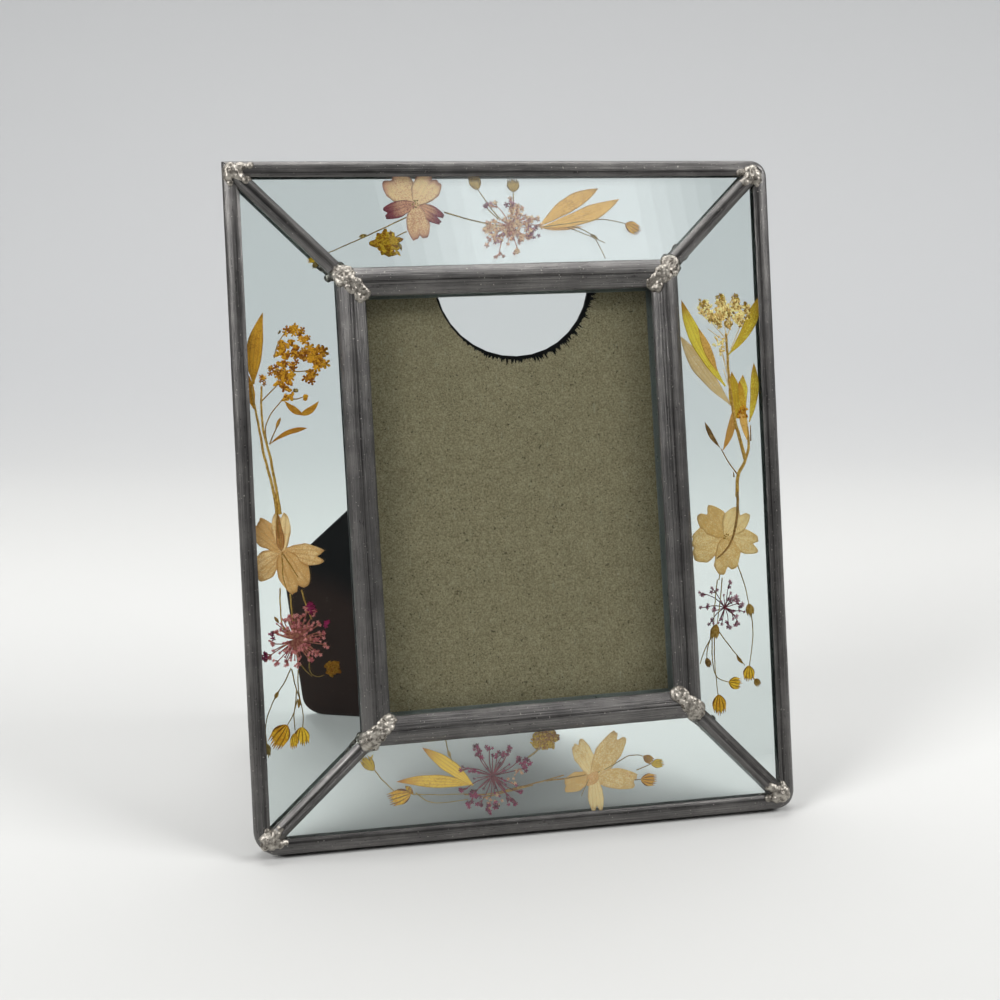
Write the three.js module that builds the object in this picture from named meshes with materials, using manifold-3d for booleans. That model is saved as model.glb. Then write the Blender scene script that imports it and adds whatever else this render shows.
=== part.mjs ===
// A leaded-glass photo frame: four sloping double panes with pressed flowers between them,
// a lead border, a raised window for a 3.5 x 5 inch photo, a chipboard back and an easel leg.
//
// Everything is laid out flat first, seen from the front: x to the right, y up the frame,
// z towards the viewer. The side panes rise towards the window, so their parts are lifted by
// SLOPE times their distance from the border. At the end the frame is leaned back and stood
// on Z = 0. Millimetres throughout.
import * as THREE from 'three';
import { mergeVertices } from 'three/addons/utils/BufferGeometryUtils.js';
import Module from 'manifold-3d';

// ---------------------------------------------------------------- driving dimensions
const WIDTH = 162.5;            // outside of the border
const HEIGHT = 197.9;
const LEAN = 15.54;             // degrees the frame leans back
const SLOPE = 5.2 / 31;         // rise of the side panes per millimetre inwards
const GAP = 0.3;                // clearance between neighbouring pieces

const PANE = 2.0;               // thickness of each glass of a double pane
const POCKET = 0.9;             // space between the two, where the flowers lie
const SPECIMEN = 0.3;           // thickness of a pressed flower
const LEAF = 0.6;               // thickness of the thin lips of lead

const BORDER = 4.8;             // width of the border came
const BORDER_SPINE = 1.2;
const BEND = { tr: 5.2, br: 5.6, bl: 7.4, tl: 5.0 };   // radii the strip is bent to
const HIP = 4.6;                // width of the corner cames
const HEART = 1.2;              // web of an H came

const WIN_W = 100.5;            // outside of the raised window
const WIN_H = 136;
const WIN_Y = 98.6;             // height of its centre
const WIN_TURN = 0.67;          // degrees it sits out of square
const WIN_BAR = 8.3;            // width of its came

const BOARD_W = 89;             // 3.5 x 5 inches
const BOARD_H = 127;
const BOARD_T = 1.8;
const NOTCH_R = 23;             // thumb notch at the top of the board

const HINGE_SLANT = 30;         // degrees the hinge line falls to the right
const HINGE_AT = new THREE.Vector3(0, 126, -2.4);
const HINGE_MID = 13;           // middle of the hinge, along its line
const HINGE_LENGTH = 46;
const LEG_T = 1.8;
const LEG_BACK = 1.9;           // middle of the leg's thickness, behind the hinge axis

// ---------------------------------------------------------------- solids
const wasm = await Module();
wasm.setup();

function toSolid(geometry) {
  const bare = geometry.clone();
  bare.deleteAttribute('normal');
  bare.deleteAttribute('uv');
  const merged = mergeVertices(bare, 1e-4);
  return new wasm.Manifold(new wasm.Mesh({
    numProp: 3,
    vertProperties: new Float32Array(merged.attributes.position.array),
    triVerts: new Uint32Array(merged.index.array),
  }));
}

function toGeometry(solid) {
  const mesh = solid.getMesh();
  const geometry = new THREE.BufferGeometry();
  geometry.setAttribute('position', new THREE.BufferAttribute(new Float32Array(mesh.vertProperties), 3));
  geometry.setIndex(new THREE.BufferAttribute(new Uint32Array(mesh.triVerts), 1));
  geometry.computeVertexNormals();
  return geometry;
}

const join = (geometries) => toGeometry(
  geometries.map(toSolid).reduce((sum, solid) => sum.add(solid)));
const cut = (geometry, tools) => toGeometry(
  tools.map(toSolid).reduce((rest, tool) => rest.subtract(tool), toSolid(geometry)));
const common = (a, b) => toGeometry(toSolid(a).intersect(toSolid(b)));

// Of what a cut leaves, only the largest connected lump.
function largest(geometry) {
  const index = [...geometry.index.array];
  const parent = Array.from({ length: geometry.attributes.position.count }, (_, i) => i);
  const root = (i) => (parent[i] === i ? i : (parent[i] = root(parent[i])));
  for (let t = 0; t < index.length; t += 3) {
    parent[root(index[t])] = root(index[t + 1]);
    parent[root(index[t + 1])] = root(index[t + 2]);
  }
  const lumps = new Map();
  for (let t = 0; t < index.length; t += 3) {
    const key = root(index[t]);
    lumps.set(key, [...(lumps.get(key) ?? []), ...index.slice(t, t + 3)]);
  }
  const biggest = [...lumps.values()].reduce((a, b) => (b.length > a.length ? b : a));
  const used = [...new Set(biggest)];
  const place = new Map(used.map((v, i) => [v, i]));
  const at = geometry.attributes.position;
  const lump = new THREE.BufferGeometry();
  lump.setAttribute('position', new THREE.Float32BufferAttribute(
    used.flatMap((v) => [at.getX(v), at.getY(v), at.getZ(v)]), 3));
  lump.setIndex(biggest.map((v) => place.get(v)));
  lump.computeVertexNormals();
  return lump;
}

// A flat plate: an outline of [x, y] points between two heights.
function plate(outline, z0, z1) {
  const shape = new THREE.Shape(outline.map(([x, y]) => new THREE.Vector2(x, y)));
  const geometry = new THREE.ExtrudeGeometry(shape, { depth: z1 - z0, bevelEnabled: false });
  return geometry.translate(0, 0, z0);
}

// A closed skin through rings of points, with flat ends.
function loft(rings, section) {
  const count = section.length;
  const positions = rings.flat().flatMap((p) => [p.x, p.y, p.z]);
  const faces = [];
  for (let r = 0; r + 1 < rings.length; r += 1) {
    for (let i = 0; i < count; i += 1) {
      const j = (i + 1) % count;
      const [a, b, c, d] = [r * count + i, r * count + j, (r + 1) * count + j, (r + 1) * count + i];
      faces.push([a, b, c], [a, c, d]);
    }
  }
  const end = (rings.length - 1) * count;
  const outline = section.map(([x, y]) => new THREE.Vector2(x, y));
  const clockwise = (points) => THREE.ShapeUtils.isClockWise(points);
  for (const [a, b, c] of THREE.ShapeUtils.triangulateShape(outline, [])) {
    const same = clockwise([outline[a], outline[b], outline[c]]) === clockwise(outline);
    const [i, k] = same ? [a, c] : [c, a];
    faces.push([k, b, i], [end + i, end + b, end + k]);
  }
  const volume = faces.reduce((sum, [a, b, c]) => {
    const at = (i) => new THREE.Vector3(positions[3 * i], positions[3 * i + 1], positions[3 * i + 2]);
    return sum + at(a).dot(at(b).cross(at(c)));
  }, 0);
  const geometry = new THREE.BufferGeometry();
  geometry.setAttribute('position', new THREE.Float32BufferAttribute(positions, 3));
  geometry.setIndex(faces.flatMap(([a, b, c]) => (volume < 0 ? [c, b, a] : [a, b, c])));
  geometry.computeVertexNormals();
  return geometry;
}

// ---------------------------------------------------------------- lifting and standing
const inset = {
  top: (x, y) => HEIGHT - y,
  bottom: (x, y) => y,
  left: (x) => WIDTH / 2 + x,
  right: (x) => WIDTH / 2 - x,
  all: (x, y) => Math.min(HEIGHT - y, y, WIDTH / 2 + x, WIDTH / 2 - x),
};

function lift(geometry, side = 'all') {
  const p = geometry.attributes.position;
  for (let i = 0; i < p.count; i += 1) {
    p.setZ(i, p.getZ(i) + SLOPE * Math.max(0, inset[side](p.getX(i), p.getY(i))));
  }
  geometry.computeVertexNormals();
  return geometry;
}

const rad = THREE.MathUtils.degToRad;
const windowPlace = new THREE.Matrix4().makeRotationZ(rad(WIN_TURN)).setPosition(0, WIN_Y, 0);
const inWindow = (geometry) => geometry.applyMatrix4(windowPlace);
const leanBack = new THREE.Matrix4().makeRotationX(rad(90 - LEAN));
const footDrop = 2.6 * Math.sin(rad(LEAN));     // lowest edge of the border once it leans
leanBack.premultiply(new THREE.Matrix4().makeTranslation(0, 0, footDrop));

// Corners of the border and of the window, in the same order.
const borderCorner = {
  tl: [-WIDTH / 2, HEIGHT], tr: [WIDTH / 2, HEIGHT], br: [WIDTH / 2, 0], bl: [-WIDTH / 2, 0],
};
const windowPoint = (x, y) => {
  const p = new THREE.Vector3(x, y, 0).applyMatrix4(windowPlace);
  return [p.x, p.y];
};
const windowCorner = {
  tl: windowPoint(-WIN_W / 2, WIN_H / 2), tr: windowPoint(WIN_W / 2, WIN_H / 2),
  br: windowPoint(WIN_W / 2, -WIN_H / 2), bl: windowPoint(-WIN_W / 2, -WIN_H / 2),
};

// ---------------------------------------------------------------- border came
const half = PANE + POCKET / 2;                 // half the thickness of a double pane
const channel = half + GAP;
const lip = channel + LEAF;
const borderSection = [
  [0, -2.6], [0, 2.6], [0.8, lip], [BORDER - 0.5, lip], [BORDER, lip - 0.3], [BORDER, channel],
  [BORDER_SPINE, channel], [BORDER_SPINE, -channel], [BORDER, -channel],
  [BORDER, 0.3 - lip], [BORDER - 0.5, -lip], [0.8, -lip],
];

// The strip runs clockwise from the top left corner and meets its own start there.
function borderSweep(section, seam) {
  const arc = (cx, cy, r, from) => Array.from({ length: 5 }, (_, i) => {
    const a = rad(from - 22.5 * i);
    return section.map(([w, z]) => new THREE.Vector3(
      cx + (r - w) * Math.cos(a), cy + (r - w) * Math.sin(a), z));
  });
  const { tr, br, bl } = BEND;
  const start = section.map(([w, z]) => new THREE.Vector3(-WIDTH / 2 + w + seam, HEIGHT - w, z));
  const finish = section.map(([w, z]) => new THREE.Vector3(-WIDTH / 2 + w, HEIGHT - w - seam, z));
  const rings = [start,
    ...arc(WIDTH / 2 - tr, HEIGHT - tr, tr, 90),
    ...arc(WIDTH / 2 - br, br, br, 0),
    ...arc(-WIDTH / 2 + bl, bl, bl, -90),
    finish];
  return lift(loft(rings, section));
}

// ---------------------------------------------------------------- corner cames
const hipSection = [
  [-2.3, channel], [-2.3, 3.15], [-1.7, 3.55], [-0.8, 3.85], [-0.2, 3.9], [0, 3.7], [0.2, 3.9],
  [0.8, 3.85], [1.7, 3.55], [2.3, 3.15], [2.3, channel], [HEART / 2, channel],
  [HEART / 2, -channel], [2.3, -channel], [2.3, -3.1], [1.4, -3.45], [0, -3.5], [-1.4, -3.45],
  [-2.3, -3.1], [-2.3, -channel], [-HEART / 2, -channel], [-HEART / 2, channel],
];

function hipSweep(corner, section, from, to) {
  const a = new THREE.Vector2(...borderCorner[corner]);
  const b = new THREE.Vector2(...windowCorner[corner]);
  const length = a.distanceTo(b);
  const along = b.clone().sub(a).normalize();
  const across = new THREE.Vector2(-along.y, along.x);
  const rings = [from, length - to].map((t) => section.map(([w, z]) => new THREE.Vector3(
    a.x + along.x * t + across.x * w, a.y + along.y * t + across.y * w, z)));
  return lift(loft(rings, section));
}

// ---------------------------------------------------------------- double panes
// A line as a point and a direction, and where two of them cross.
function cross([p, d], [q, e]) {
  const t = ((q.x - p.x) * e.y - (q.y - p.y) * e.x) / (d.x * e.y - d.y * e.x);
  return [p.x + d.x * t, p.y + d.y * t];
}

function edge(from, to, shift) {
  const p = new THREE.Vector2(...from);
  const d = new THREE.Vector2(...to).sub(p).normalize();
  return [p.clone().add(new THREE.Vector2(-d.y, d.x).multiplyScalar(shift)), d];
}

// The inside of the border's channel, with its bends, as a plate.
function borderInside(z0, z1) {
  const radius = { ...BEND };
  const d = BORDER_SPINE + GAP;
  const shape = new THREE.Shape();
  const [w, h] = [WIDTH / 2, HEIGHT];
  shape.absarc(w - radius.tr, h - radius.tr, radius.tr - d, Math.PI / 2, 0, true);
  shape.absarc(w - radius.br, radius.br, radius.br - d, 0, -Math.PI / 2, true);
  shape.absarc(-w + radius.bl, radius.bl, radius.bl - d, -Math.PI / 2, -Math.PI, true);
  shape.absarc(-w + radius.tl, h - radius.tl, radius.tl - d, Math.PI, Math.PI / 2, true);
  const geometry = new THREE.ExtrudeGeometry(shape,
    { depth: z1 - z0, bevelEnabled: false, curveSegments: 4 });
  return geometry.translate(0, 0, z0);
}

const panel = { top: ['tl', 'tr'], right: ['tr', 'br'], bottom: ['br', 'bl'], left: ['bl', 'tl'] };
const webAt = 3.4;              // how far a pane reaches under the window came

function pane(side, z0, z1) {
  const [c, d] = panel[side];
  const mitre = HEART / 2 + GAP;
  const lines = [
    edge(borderCorner[c], borderCorner[d], -(BORDER_SPINE + GAP)),
    edge(borderCorner[d], windowCorner[d], -mitre),
    edge(windowCorner[d], windowCorner[c], webAt),
    edge(windowCorner[c], borderCorner[c], -mitre),
  ];
  const outline = lines.map((line, i) => cross(line, lines[(i + 1) % 4]));
  return lift(common(plate(outline, z0, z1), borderInside(z0 - 1, z1 + 1)), side);
}

// ---------------------------------------------------------------- window came
const rise = SLOPE * 31;
const web = [3.7, 4.6];
const windowSection = [
  [0, rise + channel], [0, 8.5], [0.8, 9.5], [2.2, 10.6], [3.7, 11.15], [4.4, 11.2], [5.7, 10.9],
  [7.1, 10.1], [WIN_BAR, 9.05], [WIN_BAR, 8.4], [web[1], 8.4], [web[1], 3.3],
  [WIN_BAR + 0.65, 3.3], [WIN_BAR + 0.65, 2.5], [4.2, 2.5], [0, 1.75], [0, rise - channel],
  [web[0], rise + SLOPE * web[0] - channel], [web[0], rise + SLOPE * web[0] + channel],
];
const windowHull = [
  [-GAP, 1.4], [-GAP, 8.7], [0.6, 9.75], [2.1, 10.9], [3.65, 11.45], [4.45, 11.5], [5.85, 11.18],
  [7.3, 10.35], [WIN_BAR + GAP, 9.2], [WIN_BAR + GAP, 1.4],
];
const barTurn = { bottom: 0, right: 90, top: 180, left: 270 };

// One mitred bar, laid along the bottom and then turned to its side.
function windowBar(side, section, seam) {
  const upright = side === 'left' || side === 'right';
  const [length, other] = upright ? [WIN_H, WIN_W] : [WIN_W, WIN_H];
  const rings = [-1, 1].map((end) => section.map(([w, z]) => new THREE.Vector3(
    end * (length / 2 - w - seam), -other / 2 + w, z)));
  return inWindow(loft(rings, section).rotateZ(rad(barTurn[side])));
}

const windowGlass = () => {
  const [w, h] = [WIN_W / 2 - web[1] - GAP, WIN_H / 2 - web[1] - GAP];
  return inWindow(plate([[-w, -h], [w, -h], [w, h], [-w, h]], 3.6, 5.6));
};

// ---------------------------------------------------------------- back
const BOARD_BACK = 0.1;
const PAPER = 0.25;
const rail = { web: 4.85, wall: 0.6, lip: 8.4, top: 2.2, bottom: -1.3 };

// Outline of the board with its thumb notch; both board and paper have it.
function boardOutline(trim) {
  const w = BOARD_W / 2 - trim;
  const bottom = -WIN_H / 2 + rail.web + rail.wall + GAP + trim;
  const top = bottom + BOARD_H - 2 * trim;
  const notch = Array.from({ length: 17 }, (_, i) => {
    const a = Math.PI * (i / 16);
    return [1.8 + (NOTCH_R + trim) * Math.cos(a), top - (NOTCH_R + trim) * Math.sin(a)];
  });
  return [[-w, bottom], [w, bottom], [w, top], ...notch, [-w, top]];
}

// A rail of L section along the bottom and both sides, open at the top for the board.
function backRail() {
  const outer = (d) => [[-WIN_W / 2 + d, 58], [-WIN_W / 2 + d, -WIN_H / 2 + d],
    [WIN_W / 2 - d, -WIN_H / 2 + d], [WIN_W / 2 - d, 58]];
  const band = (a, b, z0, z1) => plate([...outer(a), ...outer(b).reverse()], z0, z1);
  return inWindow(join([
    band(rail.web, rail.web + rail.wall, rail.bottom, rail.top),
    band(rail.web, rail.lip, rail.bottom, rail.bottom + 0.5),
  ]));
}

// ---------------------------------------------------------------- easel leg and hinge
// Hinge frame: x along the hinge line, y up across it, z to the viewer, on the axis.
const hingePlace = new THREE.Matrix4().makeRotationZ(-rad(HINGE_SLANT)).setPosition(HINGE_AT);
const OPEN = 2 * Math.atan(Math.tan(rad(LEAN)) / Math.cos(rad(HINGE_SLANT)));
const swing = hingePlace.clone()
  .multiply(new THREE.Matrix4().makeRotationX(OPEN))
  .multiply(hingePlace.clone().invert());

const rod = (radius, from, to, sides = 16) => new THREE.CylinderGeometry(
  radius, radius, to - from, sides).rotateZ(Math.PI / 2).translate((from + to) / 2, 0, 0);
const slab = (x0, x1, y0, y1, z0, z1) => new THREE.BoxGeometry(x1 - x0, y1 - y0, z1 - z0)
  .translate((x0 + x1) / 2, (y0 + y1) / 2, (z0 + z1) / 2);

const ends = [HINGE_MID - HINGE_LENGTH / 2, HINGE_MID + HINGE_LENGTH / 2];
const knuckle = 9;

function hingeFixed() {
  const [a, b] = ends;
  return join([
    slab(a, b, 1.9, 8, 1.15, 1.65),
    slab(a, a + knuckle, 0, 3, 1.15, 1.65), slab(b - knuckle, b, 0, 3, 1.15, 1.65),
    rod(1.6, a, a + knuckle), rod(1.6, b - knuckle, b), rod(0.7, a, b, 10),
  ]).applyMatrix4(hingePlace);
}

function hingeMoving() {
  const [a, b] = [ends[0] + knuckle + 0.4, ends[1] - knuckle - 0.4];
  const leaf = join([slab(ends[0], ends[1], -10, -1.95, -0.7, -0.2), slab(a, b, -3, 0, -0.7, -0.2),
    rod(1.6, a, b)]);
  return cut(leaf, [rod(1.0, a - 1, b + 1)]).applyMatrix4(hingePlace).applyMatrix4(swing);
}

// The leg is drawn folded flat against the back, flush with the frame's left and bottom edges.
function easelLeg() {
  const zMid = HINGE_AT.z - LEG_BACK;
  const standing = (y, z) => new THREE.Vector3(-40, y, z).applyMatrix4(swing).applyMatrix4(leanBack).z;
  const lowest = (y) => Math.min(standing(y, zMid - LEG_T / 2), standing(y, zMid + LEG_T / 2));
  const foot = -lowest(0) / (lowest(1) - lowest(0));
  const left = -79;
  const shoulder = 140.7;                        // the shoulder is the line y = x + this
  const slant = Math.tan(rad(HINGE_SLANT));
  const hingeY = HINGE_AT.y - 2.2 / Math.cos(rad(HINGE_SLANT));
  const top = (hingeY - shoulder) / (1 + slant);
  const right = 34;
  const corner = (cx, cy, r, from, to, n = 6) => Array.from({ length: n + 1 }, (_, i) => {
    const a = rad(from + ((to - from) * i) / n);
    return [cx + r * Math.cos(a), cy + r * Math.sin(a)];
  });
  return plate([
    ...corner(left + 7, foot + 7, 7, 180, 270), ...corner(2, foot + 7, 7, 270, 343),
    [right, hingeY - slant * right - 1.5], [right - 1.5, hingeY - slant * (right - 1.5)],
    [top + 1.5, hingeY - slant * (top + 1.5)], [top - 0.7, top - 0.7 + shoulder],
    [left, left + shoulder],
  ], zMid - LEG_T / 2, zMid + LEG_T / 2).applyMatrix4(swing);
}

// ---------------------------------------------------------------- solder joints
// A lumpy dome over an oval, from a flat base.
function dome(cx, cy, rx, ry, turn, base, height, phase) {
  const ringOf = (k, z) => Array.from({ length: 10 }, (_, i) => {
    const a = (2 * Math.PI * i) / 10;
    const r = k * (1 + 0.1 * Math.sin(3 * a + phase) + 0.07 * Math.sin(5 * a + 2 * phase));
    const [x, y] = [rx * r * Math.cos(a), ry * r * Math.sin(a)];
    const t = rad(turn);
    return new THREE.Vector3(cx + x * Math.cos(t) - y * Math.sin(t),
      cy + x * Math.sin(t) + y * Math.cos(t), base + height * z);
  });
  const levels = [[1, 0], [0.9, 0.5], [0.62, 0.86], [0.2, 1]];
  return loft(levels.map(([k, z]) => ringOf(k, z)), ringOf(1, 0).map((p) => [p.x, p.y]));
}

const grownBorder = borderSweep(
  [[-GAP, -lip - GAP], [-GAP, lip + GAP], [BORDER + GAP, lip + GAP], [BORDER + GAP, -lip - GAP]], 0);
const grownHip = (corner) => hipSweep(corner,
  [[-2.6, -3.9], [-2.6, 3.45], [-1.8, 3.87], [-0.85, 4.16], [0.85, 4.16], [1.8, 3.87], [2.6, 3.45],
    [2.6, -3.9]], 9.2, 0.3);

// Solder lies over the lead without sinking into it, so the lead is cut out of each dome.
function outerSolder(corner, front) {
  const [x, y] = borderCorner[corner];
  const [sx, sy] = [Math.sign(-x), y > 0 ? -1 : 1];
  const [base, height] = front ? [half + GAP, 3.0] : [-half - GAP, -2.3];
  const turn = sx * sy * 38;
  const blob = lift(dome(x + sx * 5.9, y + sy * 5.2, 5.2, 3.8, turn, base, height, x + y));
  return largest(cut(blob, [grownBorder, grownHip(corner)]));
}

function innerSolder(corner) {
  const [x, y] = windowCorner[corner];
  const [sx, sy] = [Math.sign(-x), y > WIN_Y ? -1 : 1];
  const blob = dome(x + sx * 3.6, y + sy * 3.6, 7.0, 2.4, sx * sy * 45, 8, 4.4, x - y);
  const bars = [x < 0 ? 'left' : 'right', y > WIN_Y ? 'top' : 'bottom']
    .map((side) => windowBar(side, windowHull, -0.2));
  return largest(cut(blob, [...bars, grownHip(corner)]));
}

// ---------------------------------------------------------------- pressed flowers
// Each specimen is a set of flat outlines joined into one, given as seen from the front.
const disc = ([x, y], r, n = 7) => Array.from({ length: n }, (_, i) => {
  const a = (2 * Math.PI * (i + 0.5)) / n;
  return [x + r * Math.cos(a), y + r * Math.sin(a)];
});

function stem(points, width = 0.5) {
  const side = (sign) => points.map((p, i) => {
    const [a, b] = [points[Math.max(0, i - 1)], points[Math.min(points.length - 1, i + 1)]];
    const l = Math.hypot(b[0] - a[0], b[1] - a[1]);
    return [p[0] - (sign * width * (b[1] - a[1])) / (2 * l), p[1] + (sign * width * (b[0] - a[0])) / (2 * l)];
  });
  return [...side(-1), ...side(1).reverse()];
}

// A leaf from its base to its tip; its widest place is a fraction along.
function leaf([x0, y0], [x1, y1], width, widest = 0.5) {
  const at = (t, w) => [x0 + (x1 - x0) * t - (y1 - y0) * w, y0 + (y1 - y0) * t + (x1 - x0) * w];
  const k = width / 2 / Math.hypot(x1 - x0, y1 - y0);
  const rows = [[widest * 0.4, 0.65], [widest, 1], [(1 + widest) / 2, 0.68]];
  return [at(0, -0.2 * k), ...rows.map(([t, w]) => at(t, -w * k)), at(1, 0),
    ...rows.reverse().map(([t, w]) => at(t, w * k)), at(0, 0.2 * k)];
}

// A petal from the flower's centre, with a notch in its broad end.
function petal([x0, y0], [x1, y1], width) {
  const at = (t, w) => [x0 + (x1 - x0) * t - (y1 - y0) * w, y0 + (y1 - y0) * t + (x1 - x0) * w];
  const k = width / 2 / Math.hypot(x1 - x0, y1 - y0);
  const rim = [[0.35, 0.5], [0.75, 1], [1, 0.6]];
  return [at(-0.05, -0.25 * k), ...rim.map(([t, w]) => at(t, -w * k)), at(0.9, 0),
    ...rim.reverse().map(([t, w]) => at(t, w * k)), at(-0.05, 0.25 * k)];
}

function blossom(centre, petals) {
  return [...petals.map(([x, y, w]) => petal(centre, [x, y], w)), disc(centre, 1.6)];
}

// An umbel as one star: every ray widens into a blunt tuft of florets at its end.
function umbel([cx, cy], florets, size) {
  const polar = florets.map(([x, y]) => [Math.atan2(y - cy, x - cx), Math.hypot(x - cx, y - cy)])
    .sort((a, b) => a[0] - b[0]);
  const point = (a, r) => [cx + r * Math.cos(a), cy + r * Math.sin(a)];
  const turn = 2 * Math.PI;
  return [polar.flatMap(([a, r], i) => {
    const after = i + 1 < polar.length ? polar[i + 1][0] : polar[0][0] + turn;
    const before = i > 0 ? polar[i - 1][0] : polar[polar.length - 1][0] - turn;
    const spread = Math.min(size / r, 0.4 * (after - a), 0.4 * (a - before));
    return [point(a - spread, r), point(a - 0.4 * spread, r + size), point(a + 0.4 * spread, r + size),
      point(a + spread, r), point((a + after) / 2, 2)];
  })];
}

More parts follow.
